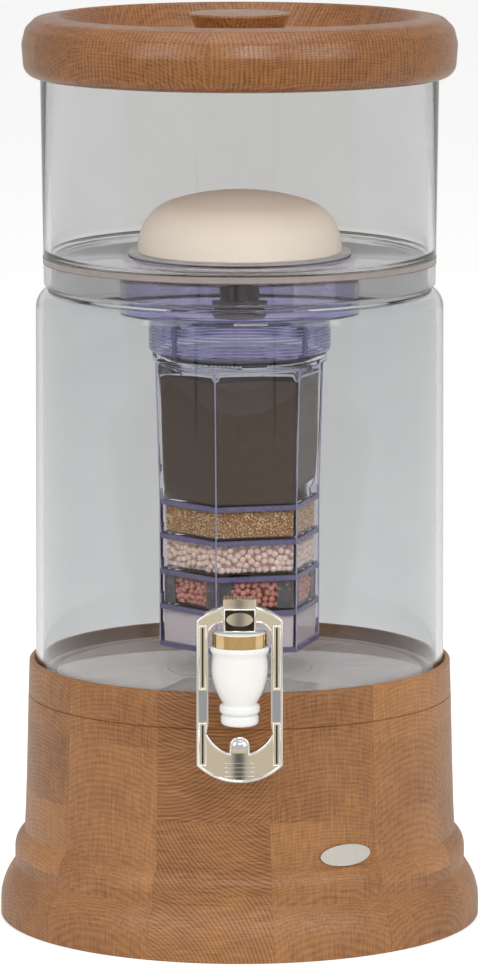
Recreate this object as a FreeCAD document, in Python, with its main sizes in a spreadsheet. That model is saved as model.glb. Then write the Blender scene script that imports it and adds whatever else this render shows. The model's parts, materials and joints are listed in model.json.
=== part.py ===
"""Gravity water filter with tap: two stacked clear tanks on a turned wooden base.

Millimetres, +Z up, origin on the axis at the underside of the base. The tap
points towards -Y. Every driving size is a named cell of the Sizes sheet.
"""
import FreeCAD
import Part
import Sketcher
import math
import os
import re

from FreeCAD import Placement, Rotation, Vector

doc = FreeCAD.newDocument("gravity_water_filter")

# Driving sizes: name, value or formula, what it is
SIZES = [
    # Wooden base
    ("foot_radius", 147.7, "widest radius of the base"),
    ("foot_band", 9.0, "upright band at the very bottom"),
    ("foot_edge", 1.0, "softened bottom edge"),
    ("foot_curve_top", 32.6, "height where the lower moulding ends"),
    ("foot_curve", 35.7, "radius of the lower moulding"),
    ("step_radius", 138.8, "upright band between the mouldings"),
    ("step_top", 43.0, "height where the upper moulding starts"),
    ("neck_curve", 12.9, "radius of the upper moulding"),
    ("wall_foot_radius", 132.9, "wall radius above the mouldings"),
    ("wall_foot_height", 53.2, "height where the wall starts"),
    ("wall_top_radius", 129.4, "wall radius at the rim"),
    ("base_height", 160.5, "height of the base rim"),
    ("rim_edge", 2.0, "rounding of the rim's outer edge"),
    ("rim_inner_edge", 1.0, "rounding of the rim's inner edge"),
    ("groove_height_drop", 22.0, "height of the scribed line round the wall, below the base rim"),
    ("groove_half_width", 0.6, "half width of the scribed line"),
    ("groove_depth", 0.7, "depth of the scribed line"),
    ("board_top_drop", 12.2, "top of the board that carries the tank, below the base rim"),
    ("board_thick", 18.0, "thickness of the board"),
    ("board_play", 0.3, "gap round the board"),
    ("base_bore", 118.0, "radius of the hollow under the board"),
    ("tank_play", 0.7, "gap between tank and base"),
    # Bare badge on the base
    ("badge_width", 34.0, "width of the badge"),
    ("badge_tall", 13.0, "height of the badge"),
    ("badge_thick", 1.3, "thickness of the badge"),
    ("badge_height", 60.0, "height of the badge's centre"),
    ("badge_angle", 28.5, "badge direction, degrees to the right of the tap"),
    ("badge_glue", 0.03, "glue line behind the badge"),
    # Lower tank
    ("tank_foot_radius", 125.5, "outer radius at the bottom"),
    ("tank_top_radius", 124.4, "outer radius below the shoulder"),
    ("tank_wall", 4.0, "wall of the lower tank"),
    ("tank_floor", 4.7, "floor of the lower tank"),
    ("tank_corner", 8.0, "rounding where wall and floor meet"),
    ("shoulder_height_rise", 217.0, "height where the shoulder starts, above the base rim"),
    ("shoulder_curve", 13.0, "radius of the shoulder"),
    ("lip_radius", 117.6, "outer radius of the mouth's lip"),
    ("lip_inner", 115.2, "inner radius of the mouth"),
    ("lip_height_rise", 230.5, "height of the mouth, above the base rim"),
    ("lip_edge", 0.7, "rounding of the lip"),
    ("punt_radius", 44.0, "raised disc in the middle of the floor"),
    ("punt_rise", 0.8, "how far that disc stands up"),
    # Upper tank
    ("skirt_radius", 119.5, "outer radius at the skirt's bottom"),
    ("upper_top_radius", 121.2, "outer radius at the top rim"),
    ("upper_wall", 4.0, "wall of the upper tank"),
    ("skirt_wall", 3.6, "wall of the skirt below the floor"),
    ("upper_floor_low_rise", 244.0, "underside of the floor, above the base rim"),
    ("upper_floor_high_rise", 248.0, "top of the floor, above the base rim"),
    ("upper_corner", 5.0, "rounding where wall and floor meet"),
    ("upper_top_drop", 35.4, "height of the top rim, below the crest"),
    ("upper_edge", 1.2, "rounding of the top rim"),
    ("spigot_play", 0.8, "gap between spigot and mouth"),
    ("spigot_wall", 2.6, "wall of the locating spigot"),
    ("spigot_low_rise", 225.5, "bottom of the locating spigot, above the base rim"),
    # Lid
    ("lid_radius", 133.6, "widest radius of the lid"),
    ("lid_low_drop", 40.4, "bottom of the lid's rim, below the crest"),
    ("lid_low_radius", 132.4, "lid radius at its bottom edge"),
    ("lid_low_round", 7.5, "rounding of the bottom edge"),
    ("lid_widest_drop", 17.4, "height of the widest place, below the crest"),
    ("lid_side_round", 12.0, "rounding above the widest place"),
    ("lid_brow_radius", 131.3, "radius at the start of the brow"),
    ("lid_brow_drop", 8.2, "height of the start of the brow, below the crest"),
    ("lid_brow_inner", 125.6, "radius at the end of the brow"),
    ("lid_brow_top_drop", 2.0, "height of the end of the brow, below the crest"),
    ("lid_brow_round", 6.0, "rounding of the brow"),
    ("crest_radius", 113.0, "radius of the crest"),
    ("crest_height", 555.4, "height of the crest"),
    ("crest_round", 3.5, "rounding of the crest"),
    ("rim_gap", 1.2, "gap between tank rim and lid rebate, outside"),
    ("plug_gap", 1.0, "gap between tank rim and lid plug, inside"),
    ("plug_low_drop", 42.4, "bottom of the locating plug, below the crest"),
    ("plug_bore", 92.0, "radius of the hollow under the lid"),
    ("panel_radius", 100.0, "radius of the inset panel"),
    ("panel_low_drop", 26.4, "underside of the panel, below the crest"),
    ("panel_high_drop", 14.4, "top of the panel, below the crest"),
    ("panel_play", 0.3, "gap round the panel"),
    ("dish_slope", 3.0, "run of the slope at the foot of the dish"),
    ("knob_radius", 30.1, "radius of the knob's top"),
    ("knob_foot", 24.0, "radius of the knob's foot"),
    ("knob_top_rise", 0.7, "height of the knob, above the crest"),
    ("knob_flare_drop", 4.4, "height where the knob is widest, below the crest"),
    ("knob_waist_drop", 10.4, "height of the knob's waist, below the crest"),
    ("knob_round", 1.8, "rounding of the knob's top edge"),
    ("knob_hollow", 5.0, "rounding of the knob's waist"),
    ("screw_radius", 1.95, "shank radius of the knob's screw"),
    ("screw_head", 4.2, "head radius of the knob's screw"),
    ("screw_head_tall", 2.6, "height of the screw's head"),
    ("screw_length", 20.0, "length of the screw under its head"),
    ("screw_play", 0.1, "gap round the screw"),
    # Ceramic dome and its plate
    ("dome_radius", 62.2, "outer radius of the dome"),
    ("dome_top_rise", 288.1, "height of the dome, above the base rim"),
    ("dome_crown", 105.6, "radius of the crown"),
    ("dome_shoulder", 27.75, "radius of the shoulder"),
    ("dome_wall", 8.0, "wall of the dome"),
    ("plate_radius", 68.0, "radius of the plate's flange"),
    ("plate_gap", 0.4, "gap between plate and floor"),
    ("plate_flange", 1.0, "thickness of the flange"),
    ("plate_step", 4.1, "height of the disc inside the dome"),
    ("plate_play", 0.8, "gap between that disc and the dome"),
    ("stem_radius", 6.0, "radius of the outlet stem"),
    ("stem_bore", 3.0, "bore of the outlet stem"),
    ("stem_low_rise", 210.5, "bottom end of the stem, above the base rim"),
    ("stem_play", 0.4, "gap round the stem"),
    ("gasket_radius", 19.6, "radius of the dome gasket"),
    ("gasket_play", 0.4, "gap round the gasket in its recess"),
    ("gasket_recess", 0.8, "depth of the gasket's recess"),
    # Bowl under the upper tank
    ("bowl_radius", 72.5, "outer radius of the bowl"),
    ("bowl_wall", 2.5, "wall of the bowl"),
    ("bowl_gasket_thick", 1.2, "thickness of the seal above the bowl"),
    ("bowl_gasket_radius", 24.0, "radius of the seal above the bowl"),
    ("bowl_plate", 2.3, "thickness of the bowl's top plate"),
    ("bowl_low_rise", 214.5, "bottom of the bowl's wall, above the base rim"),
    ("bowl_cone_radius", 56.0, "radius where the cone ends"),
    ("bowl_cone_low_rise", 209.3, "height where the cone ends, above the base rim"),
    ("bowl_edge", 2.0, "rounding of the bowl's bottom edge"),
    ("bowl_neck_radius", 52.6, "outer radius of the threaded neck"),
    ("bowl_neck_wall", 2.6, "wall of the threaded neck"),
    ("bowl_neck_low_rise", 191.9, "bottom of the threaded neck, above the base rim"),
    ("hub_radius", 12.0, "radius of the bowl's hub"),
    ("nut_top_radius", 17.0, "stem nut radius at its top"),
    ("nut_low_radius", 15.0, "stem nut radius at its bottom"),
    ("nut_high_rise", 228.7, "top of the stem nut, above the base rim"),
    ("nut_tall", 15.0, "height of the stem nut"),
    ("nut_play", 0.15, "thread clearance of the nut"),
    # Cartridge
    ("collar_radius", 55.4, "outer radius of the union collar"),
    ("collar_play", 0.35, "gap between collar and neck"),
    ("collar_high_rise", 208.7, "top of the union collar, above the base rim"),
    ("collar_low_rise", 190.5, "bottom of the union collar, above the base rim"),
    ("neck_radius", 53.4, "outer radius of the cartridge's neck ring"),
    ("neck_wall", 2.5, "wall of the neck ring"),
    ("neck_low_rise", 184.0, "underside of the neck ring, above the base rim"),
    ("neck_floor", 2.0, "thickness of the ledge in the neck ring"),
    ("neck_hole", 43.4, "radius of the inlet in the ledge"),
    ("hexagon_top", 52.7, "corner radius of the shell at its top"),
    ("hexagon_low", 50.0, "corner radius of the shell at its bottom"),
    ("tray_low_radius", 49.4, "corner radius of a tray at its bottom"),
    ("hexagon_wall", 2.3, "wall, measured at the corners"),
    ("hexagon_turn", 13.5, "turn of the hexagon, degrees"),
    ("shell_floor", 2.0, "floor of the shell"),
    ("tray_floor", 2.0, "floor of a tray"),
    ("carbon_level_rise", 98.1, "bottom of the carbon stage, above the base rim"),
    ("granule_level_rise", 77.1, "bottom of the granule stage, above the base rim"),
    ("bead_level_rise", 55.1, "bottom of the ceramic bead stage, above the base rim"),
    ("pellet_level_rise", 33.6, "bottom of the pellet stage, above the base rim"),
    ("mineral_level_rise", 8.6, "bottom of the mineral stage and cartridge, above the base rim"),
    ("carbon_top_rise", 177.5, "top of the carbon, above the base rim"),
    ("bed_play", 0.3, "gap round a bed of media"),
    ("bed_headroom", 1.0, "free height above a bed"),
    ("divider_thick", 2.4, "thickness of the pocket divider's webs"),
    ("strainer_radius", 50.5, "radius of the inlet strainer"),
    ("strainer_thick", 1.6, "thickness of the inlet strainer"),
    ("strainer_hole", 1.6, "radius of a strainer hole"),
    ("strainer_ring", 30.0, "radius of the ring of strainer holes"),
    # Tap body
    ("tap_reach", 165.0, "distance of the spout from the tank's axis"),
    ("tap_height_rise", 23.5, "height of the shank, above the base rim"),
    ("shank_radius", 8.0, "radius of the shank"),
    ("shank_bore", 4.5, "bore of the shank"),
    ("shank_play", 0.4, "gap round the shank in the tank wall"),
    ("shank_inside", 103.0, "where the shank ends inside the tank"),
    ("flange_radius", 12.0, "radius of the shank's flange"),
    ("flange_thick", 2.7, "thickness of the shank's flange"),
    ("washer_radius", 13.0, "radius of the tank washers"),
    ("washer_thick", 2.7, "thickness of the tank washers"),
    ("washer_gap", 0.08, "gap between washer and tank"),
    ("washer_play", 0.1, "gap round the shank in washers and nut"),
    ("curve_gap", 0.8, "room for the tank's curve at the inner washer"),
    ("tap_nut_radius", 13.5, "corner radius of the tank nut"),
    ("tap_nut_thick", 6.0, "thickness of the tank nut"),
    ("spout_low_drop", 12.0, "bottom of the spout, below the base rim"),
    ("bead_low_radius", 11.0, "radius of the lower bead"),
    ("bead_low_top_drop", 5.5, "top of the lower bead, below the base rim"),
    ("bead_high_radius", 12.0, "radius of the upper bead"),
    ("bead_high_low_drop", 4.7, "bottom of the upper bead, below the base rim"),
    ("bead_high_top_rise", 0.7, "top of the upper bead, above the base rim"),
    ("bead_round", 2.5, "rounding of the beads"),
    ("bead_waist", 9.6, "radius between the beads"),
    ("spout_neck", 8.4, "radius at the foot of the belly"),
    ("belly_radius", 16.5, "radius of the belly"),
    ("belly_height_rise", 21.0, "height of the belly, above the base rim"),
    ("belly_round", 12.0, "rounding of the belly"),
    ("belly_neck", 15.2, "radius above the belly"),
    ("belly_neck_height_rise", 31.9, "height of the neck above the belly, above the base rim"),
    ("flare_radius", 18.0, "radius of the flared lip"),
    ("flare_low_rise", 32.9, "underside of the flared lip, above the base rim"),
    ("flare_high_rise", 35.5, "top of the flared lip, above the base rim"),
    ("flare_round", 0.9, "rounding of the flared lip"),
    ("collar_top_rise", 39.3, "top of the tap body, above the base rim"),
    ("chamber_radius", 11.0, "radius of the valve chamber"),
    ("seat_height_rise", 11.5, "height of the valve seat, above the base rim"),
    ("spout_bore", 4.5, "bore of the spout"),
    ("mouth_bore", 7.0, "bore at the spout's mouth"),
    ("mouth_high_drop", 3.5, "height where the bore narrows, below the base rim"),
    ("cap_top_rise", 43.7, "top of the bonnet cap, above the base rim"),
    ("cap_round", 0.8, "rounding of the bonnet cap"),
    ("cap_spigot", 10.8, "radius of the cap's spigot"),
    ("cap_spigot_low_rise", 35.5, "bottom of the cap's spigot, above the base rim"),
    ("ring_wall", 0.9, "wall of the trim ring"),
    ("ring_play", 0.1, "gap inside the trim ring"),
    ("ring_low_rise", 35.7, "bottom of the trim ring, above the base rim"),
    ("ring_high_rise", 43.3, "top of the trim ring, above the base rim"),
    # Valve
    ("valve_radius", 2.5, "radius of the valve stem"),
    ("valve_play", 0.06, "running clearance of the stem"),
    ("valve_low_rise", 14.0, "bottom of the stem, in the seal, above the base rim"),
    ("seal_radius", 7.0, "radius of the seal"),
    ("seal_tip", 3.8, "radius of the seal's tip"),
    ("seal_tip_low_rise", 10.0, "bottom of the seal's tip, above the base rim"),
    ("seal_top_rise", 19.5, "top of the seal, above the base rim"),
    ("seal_gap", 0.1, "gap between seal and seat"),
    ("pin_height_rise", 51.5, "height of the lever's pin, above the base rim"),
    ("pin_radius", 1.2, "radius of the lever's pin"),
    ("pin_play", 0.05, "running clearance of the pin"),
    ("eye_radius", 4.0, "radius of the stem's eye"),
    ("eye_half", 3.0, "half width of the stem's eye"),
    ("spring_radius", 4.4, "radius of the spring's coil"),
    ("spring_wire", 0.42, "corner radius of the spring's six-sided wire"),
    ("spring_turns", 6.0, "turns of the spring"),
    ("spring_gap", 0.2, "gap at each end of the spring"),
    # Lever
    ("lever_half", 25.2, "half width of the lever frame"),
    ("lever_inner", 18.4, "half width of the frame's window"),
    ("lever_low_inner", 19.6, "half width of the window at the push plate"),
    ("lever_thick", 6.0, "depth of the lever frame"),
    ("lever_shoulder_rise", 51.0, "height of the top corners, above the base rim"),
    ("lever_top_rise", 60.4, "top of the frame, above the base rim"),
    ("lever_top_curve", 38.5, "radius of the top edge"),
    ("lever_corner_drop", 36.0, "height of the bottom corners, below the base rim"),
    ("lever_low_curve", 35.6, "radius of the bottom edge"),
    ("window_top_rise", 49.7, "top of the window, above the base rim"),
    ("window_round", 8.5, "rounding of the window's top corners"),
    ("window_low_drop", 17.1, "bottom of the window at its sides, below the base rim"),
    ("window_narrow_drop", 10.5, "height where the window starts to widen, below the base rim"),
    ("plate_curve", 21.7, "radius of the push plate's upper edge"),
    ("plate_dip_drop", 28.6, "height of that edge beside the thumb rest, below the base rim"),
    ("thumb_half", 4.6, "half width of the thumb rest"),
    ("thumb_height_drop", 23.7, "height where the thumb rest's arch starts, below the base rim"),
    ("thumb_curve", 4.8, "radius of that arch"),
    ("block_half", 9.7, "half width of the head block"),
    ("block_half_deep", 6.5, "half depth of the head block"),
    ("block_low_rise", 44.0, "bottom of the head block, above the base rim"),
    ("block_top_rise", 63.7, "top of the head block, above the base rim"),
    ("slot_half", 3.3, "half width of the slot for the eye"),
    ("slot_half_deep", 5.0, "half depth of that slot"),
    ("slot_top_rise", 55.9, "top of that slot, above the base rim"),
    ("boss_half", 7.8, "half width of the oval boss"),
    ("boss_half_tall", 4.1, "half height of the oval boss"),
    ("boss_height_rise", 52.1, "height of the oval boss, above the base rim"),
    ("boss_thick", 0.9, "thickness of the oval boss"),
    # Heights carried by the base rim and, for the lid, by its crest
    ("groove_height", "=base_height - groove_height_drop", "height of the scribed line round the wall"),
    ("board_top", "=base_height - board_top_drop", "top of the board that carries the tank"),
    ("shoulder_height", "=base_height + shoulder_height_rise", "height where the shoulder starts"),
    ("lip_height", "=base_height + lip_height_rise", "height of the mouth"),
    ("upper_floor_low", "=base_height + upper_floor_low_rise", "underside of the floor"),
    ("upper_floor_high", "=base_height + upper_floor_high_rise", "top of the floor"),
    ("spigot_low", "=base_height + spigot_low_rise", "bottom of the locating spigot"),
    ("dome_top", "=base_height + dome_top_rise", "height of the dome"),
    ("stem_low", "=base_height + stem_low_rise", "bottom end of the stem"),
    ("bowl_low", "=base_height + bowl_low_rise", "bottom of the bowl's wall"),
    ("bowl_cone_low", "=base_height + bowl_cone_low_rise", "height where the cone ends"),
    ("bowl_neck_low", "=base_height + bowl_neck_low_rise", "bottom of the threaded neck"),
    ("nut_high", "=base_height + nut_high_rise", "top of the stem nut"),
    ("collar_high", "=base_height + collar_high_rise", "top of the union collar"),
    ("collar_low", "=base_height + collar_low_rise", "bottom of the union collar"),
    ("neck_low", "=base_height + neck_low_rise", "underside of the neck ring"),
    ("carbon_level", "=base_height + carbon_level_rise", "bottom of the carbon stage"),
    ("granule_level", "=base_height + granule_level_rise", "bottom of the granule stage"),
    ("bead_level", "=base_height + bead_level_rise", "bottom of the ceramic bead stage"),
    ("pellet_level", "=base_height + pellet_level_rise", "bottom of the pellet stage"),
    ("mineral_level", "=base_height + mineral_level_rise", "bottom of the mineral stage and cartridge"),
    ("carbon_top", "=base_height + carbon_top_rise", "top of the carbon"),
    ("tap_height", "=base_height + tap_height_rise", "height of the shank"),
    ("spout_low", "=base_height - spout_low_drop", "bottom of the spout"),
    ("bead_low_top", "=base_height - bead_low_top_drop", "top of the lower bead"),
    ("bead_high_low", "=base_height - bead_high_low_drop", "bottom of the upper bead"),
    ("bead_high_top", "=base_height + bead_high_top_rise", "top of the upper bead"),
    ("belly_height", "=base_height + belly_height_rise", "height of the belly"),
    ("belly_neck_height", "=base_height + belly_neck_height_rise", "height of the neck above the belly"),
    ("flare_low", "=base_height + flare_low_rise", "underside of the flared lip"),
    ("flare_high", "=base_height + flare_high_rise", "top of the flared lip"),
    ("collar_top", "=base_height + collar_top_rise", "top of the tap body"),
    ("seat_height", "=base_height + seat_height_rise", "height of the valve seat"),
    ("mouth_high", "=base_height - mouth_high_drop", "height where the bore narrows"),
    ("cap_top", "=base_height + cap_top_rise", "top of the bonnet cap"),
    ("cap_spigot_low", "=base_height + cap_spigot_low_rise", "bottom of the cap's spigot"),
    ("ring_low", "=base_height + ring_low_rise", "bottom of the trim ring"),
    ("ring_high", "=base_height + ring_high_rise", "top of the trim ring"),
    ("valve_low", "=base_height + valve_low_rise", "bottom of the stem, in the seal"),
    ("seal_tip_low", "=base_height + seal_tip_low_rise", "bottom of the seal's tip"),
    ("seal_top", "=base_height + seal_top_rise", "top of the seal"),
    ("pin_height", "=base_height + pin_height_rise", "height of the lever's pin"),
    ("lever_shoulder", "=base_height + lever_shoulder_rise", "height of the top corners"),
    ("lever_top", "=base_height + lever_top_rise", "top of the frame"),
    ("lever_corner", "=base_height - lever_corner_drop", "height of the bottom corners"),
    ("window_top", "=base_height + window_top_rise", "top of the window"),
    ("window_low", "=base_height - window_low_drop", "bottom of the window at its sides"),
    ("window_narrow", "=base_height - window_narrow_drop", "height where the window starts to widen"),
    ("plate_dip", "=base_height - plate_dip_drop", "height of that edge beside the thumb rest"),
    ("thumb_height", "=base_height - thumb_height_drop", "height where the thumb rest's arch starts"),
    ("block_low", "=base_height + block_low_rise", "bottom of the head block"),
    ("block_top", "=base_height + block_top_rise", "top of the head block"),
    ("slot_top", "=base_height + slot_top_rise", "top of that slot"),
    ("boss_height", "=base_height + boss_height_rise", "height of the oval boss"),
    ("upper_top", "=crest_height - upper_top_drop", "height of the top rim"),
    ("lid_low", "=crest_height - lid_low_drop", "bottom of the lid's rim"),
    ("lid_widest", "=crest_height - lid_widest_drop", "height of the widest place"),
    ("lid_brow", "=crest_height - lid_brow_drop", "height of the start of the brow"),
    ("lid_brow_top", "=crest_height - lid_brow_top_drop", "height of the end of the brow"),
    ("plug_low", "=crest_height - plug_low_drop", "bottom of the locating plug"),
    ("panel_low", "=crest_height - panel_low_drop", "underside of the panel"),
    ("panel_high", "=crest_height - panel_high_drop", "top of the panel"),
    ("knob_top", "=crest_height + knob_top_rise", "height of the knob"),
    ("knob_flare", "=crest_height - knob_flare_drop", "height where the knob is widest"),
    ("knob_waist", "=crest_height - knob_waist_drop", "height of the knob's waist"),
    # Worked out from the sizes above
    ("ledge_height", "=board_top - board_thick", "ledge that carries the board"),
    ("seat_radius", "=tank_foot_radius + tank_play", "bore that takes the tank"),
    ("wall_slope", "=(wall_foot_radius - wall_top_radius) / (base_height - wall_foot_height)",
     "how fast the base wall leans in"),
    ("groove_radius", "=wall_foot_radius - wall_slope * (groove_height - wall_foot_height)",
     "wall radius at the scribed line"),
    ("tank_inside", "=board_top + tank_floor", "top of the lower tank's floor"),
    ("tank_slope", "=(tank_foot_radius - tank_top_radius) / (shoulder_height - board_top)",
     "how fast the tank leans in"),
    ("tank_at_tap", "=tank_foot_radius - tank_slope * (tap_height - board_top)",
     "tank radius at the tap"),
    ("tank_at_washer", "=tank_foot_radius - tank_slope * (tap_height - washer_radius - board_top)",
     "tank radius at the bottom of the washer"),
    ("upper_slope", "=(upper_top_radius - skirt_radius) / (upper_top - lip_height)",
     "how fast the upper tank widens"),
    ("upper_at_floor", "=skirt_radius + upper_slope * (upper_floor_high - lip_height)",
     "upper tank radius at its floor"),
    ("spigot_radius", "=lip_inner - spigot_play", "outer radius of the spigot"),
    ("dome_low", "=upper_floor_high + plate_gap + plate_flange", "bottom of the dome"),
    ("dome_meet", "=dome_top - dome_crown + sqrt(dome_crown ^ 2 - dome_radius ^ 2)",
     "height where crown and side would meet"),
    ("dome_inner", "=dome_radius - dome_wall", "inner radius of the dome"),
    ("dome_inner_crown", "=dome_crown - dome_wall", "inner radius of the crown"),
    ("dome_inner_meet", "=dome_top - dome_crown + sqrt(dome_inner_crown ^ 2 - dome_inner ^ 2)",
     "height where the inner crown and side would meet"),
    ("bowl_top", "=upper_floor_low - bowl_gasket_thick", "top of the bowl"),
    ("cap_radius", "=belly_neck", "radius of the bonnet cap"),
    ("outer_washer_face", "=tank_at_washer + washer_gap", "where the outer washer starts"),
    ("inner_washer_face", "=tank_at_tap - tank_wall - curve_gap", "where the inner washer starts"),
]

sheet = doc.addObject("Spreadsheet::Sheet", "Sizes")
for row, (name, value, note) in enumerate(SIZES, start=1):
    sheet.set(f"A{row}", note)
    sheet.set(f"B{row}", str(value))
    sheet.setAlias(f"B{row}", name)
doc.recompute()

NAMES = {name for name, value, note in SIZES}
WORD = re.compile(r"[a-z_]+")
FULL_TURN = 360.0
NODES = {}


def sized(formula):
    """Give a formula in plain size names as an expression on the sheet."""
    return WORD.sub(lambda hit: f"Sizes.{hit[0]}" if hit[0] in NAMES else hit[0], str(formula))


def number(formula):
    """Work out a formula in plain size names."""
    return float(sheet.evalExpression(sized(formula)))


def bind(thing, **formulas):
    """Bind properties of a thing to formulas; a double underscore stands for a dot."""
    for key, formula in formulas.items():
        thing.setExpression(key.replace("__", "."), sized(formula))
    return thing


def keep(name, thing):
    """Name a finished piece after its node."""
    thing.Label = name
    NODES[name] = thing
    return thing


def corner(across, up, rounding=None, arc=None, left=True):
    """One corner of an outline.

    rounding is a fillet at the corner. arc is the radius of the curve to the
    next corner, with its centre to the left or right of the way there.
    """
    return {"across": across, "up": up, "rounding": rounding, "arc": arc, "left": left}


def arc_through(start, end, radius, left):
    """The arc from start to end, and whether it runs that way round."""
    chord = end - start
    half = chord.Length / 2
    side = Vector(-chord.y, chord.x, 0).normalize()
    reach = math.sqrt(max(radius ** 2 - half ** 2, 0.0))
    centre = (start + end) * 0.5 + side * (reach if left else -reach)
    first, last = (start, end) if left else (end, start)
    angles = [math.atan2(p.y - centre.y, p.x - centre.x) for p in (first, last)]
    circle = Part.Circle(centre, Vector(0, 0, 1), radius)
    return Part.ArcOfCircle(circle, angles[0], angles[1])


def outline(sketch, corners):
    """Draw one closed outline whose corners and radii are bound to the sheet."""
    count = len(corners)
    spots = [Vector(number(c["across"]), number(c["up"]), 0) for c in corners]
    trims = []
    for i, spot in enumerate(spots):
        trim = 0.0
        if corners[i]["rounding"]:
            to_last = (spots[i - 1] - spot).normalize()
            to_next = (spots[(i + 1) % count] - spot).normalize()
            opening = to_last.getAngle(to_next)
            trim = number(corners[i]["rounding"]) / math.tan(opening / 2)
        trims.append(trim)

    def limit(kind, *where):
        return sketch.addConstraint(Sketcher.Constraint(kind, *where))

    def fix(geometry, end, place):
        for kind, formula, axis in (("DistanceX", place["across"], -2), ("DistanceY", place["up"], -1)):
            if str(formula) == "0":
                limit("PointOnObject", geometry, end, axis)
            else:
                index = limit(kind, -1, 1, geometry, end, number(formula))
                sketch.setExpression(f"Constraints[{index}]", sized(formula))

    sides = []
    for i, place in enumerate(corners):
        start, end = spots[i], spots[(i + 1) % count]
        if place["arc"]:
            radius = number(place["arc"])
            piece = sketch.addGeometry(arc_through(start, end, radius, place["left"]), False)
            ends = (1, 2) if place["left"] else (2, 1)
            index = limit("Radius", piece, radius)
            sketch.setExpression(f"Constraints[{index}]", sized(place["arc"]))
        else:
            way = (end - start).normalize()
            line = Part.LineSegment(start + way * trims[i], end - way * trims[(i + 1) % count])
            piece = sketch.addGeometry(line, False)
            ends = (1, 2)
        sides.append((piece, ends[0], ends[1]))
    for i, place in enumerate(corners):
        before, after = sides[i - 1], sides[i]
        if not place["rounding"]:
            limit("Coincident", before[0], before[2], after[0], after[1])
            fix(after[0], after[1], place)
            continue
        radius = number(place["rounding"])
        last = sketch.Geometry[before[0]].EndPoint
        first = sketch.Geometry[after[0]].StartPoint
        turn = (spots[i] - last).cross(first - spots[i]).z
        bend = sketch.addGeometry(arc_through(last, first, radius, turn > 0), False)
        ends = (1, 2) if turn > 0 else (2, 1)
        limit("Tangent", before[0], before[2], bend, ends[0])
        limit("Tangent", bend, ends[1], after[0], after[1])
        index = limit("Radius", bend, radius)
        sketch.setExpression(f"Constraints[{index}]", sized(place["rounding"]))
        tip = sketch.addGeometry(Part.Point(spots[i]), True)
        limit("PointOnObject", tip, 1, before[0])
        limit("PointOnObject", tip, 1, after[0])
        fix(tip, 1, place)


def new_sketch(body, name, role, *outlines):
    """A sketch on one of the body's own planes."""
    sketch = body.newObject("Sketcher::SketchObject", name)
    plane = next(o for o in body.Origin.OriginFeatures if o.Role == role)
    sketch.AttachmentSupport = [(plane, "")]
    sketch.MapMode = "FlatFace"
    for corners in outlines:
        outline(sketch, corners)
    return sketch


def turned(name, corners, **place):
    """A body turned round the upright axis from half a cross-section."""
    body = doc.addObject("PartDesign::Body", name)
    sketch = new_sketch(body, f"{name}_section", "XZ_Plane", corners)
    turn = body.newObject("PartDesign::Revolution", f"{name}_turning")
    turn.Profile = (sketch, [""])
    turn.ReferenceAxis = (sketch, ["V_Axis"])
    turn.Angle = FULL_TURN
    body.Tip = turn
    return bind(body, **place)


def padded(name, depth, *outlines, **place):
    """A body pushed out equally to both sides of the upright front plane."""
    body = doc.addObject("PartDesign::Body", name)
    sketch = new_sketch(body, f"{name}_outline", "XZ_Plane", *outlines)
    pad = body.newObject("PartDesign::Pad", f"{name}_pad")
    pad.Profile = (sketch, [""])
    pad.SideType = "Symmetric"
    bind(pad, Length=depth)
    body.Tip = pad
    return bind(body, **place)


def tube(name, radius, bore, low, high, **place):
    """A turned ring with a square section."""
    return turned(name, [corner(bore, low), corner(radius, low), corner(radius, high), corner(bore, high)], **place)


def rod(name, radius, length, axis="Z", **place):
    """A plain cylinder; along Y it runs from its place towards the front."""
    cylinder = doc.addObject("Part::Cylinder", name)
    cylinder.Placement = Placement(Vector(), {"Z": Rotation(), "Y": Rotation(Vector(1, 0, 0), 90),
                                              "X": Rotation(Vector(0, 1, 0), 90)}[axis])
    return bind(cylinder, Radius=radius, Height=length, **place)


def block(name, long, deep, tall, **place):
    """A plain box."""
    return bind(doc.addObject("Part::Box", name), Length=long, Width=deep, Height=tall, **place)


def cut(name, base, tool):
    """One piece less another."""
    result = doc.addObject("Part::Cut", name)
    result.Base = base
    result.Tool = tool
    return result


def joined(name, *pieces):
    """Several pieces fused into one."""
    result = doc.addObject("Part::MultiFuse", name)
    result.Shapes = list(pieces)
    result.Refine = True
    return result


def hexagon(name, low_radius, low, high_radius, high):
    """A six-sided prism with a little draft, turned with the cartridge."""
    ends = []
    for side, radius, height in (("low", low_radius, low), ("high", high_radius, high)):
        ring = doc.addObject("Part::RegularPolygon", f"{name}_{side}")
        ring.Polygon = 6
        bind(ring, Circumradius=radius, Placement__Base__z=height, Placement__Rotation__Angle="hexagon_turn")
        ends.append(ring)
    loft = doc.addObject("Part::Loft", name)
    loft.Sections = ends
    loft.Solid = True
    loft.Ruled = True
    return loft


def rounded_edge(body, name, radius, at_radius, at_height):
    """Round the circular edge of a turned body at the given radius and height."""
    doc.recompute()
    tip = body.Tip
    picked = []
    for index, edge in enumerate(tip.Shape.Edges, start=1):
        box = edge.BoundBox
        if abs(box.XMax - number(at_radius)) < 0.01 and abs(box.ZMax - number(at_height)) < 0.01 \
                and box.ZLength < 0.01:
            picked.append(f"Edge{index}")
    fillet = body.newObject("PartDesign::Fillet", name)
    fillet.Base = (tip, picked)
    bind(fillet, Radius=radius)
    body.Tip = fillet


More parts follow.
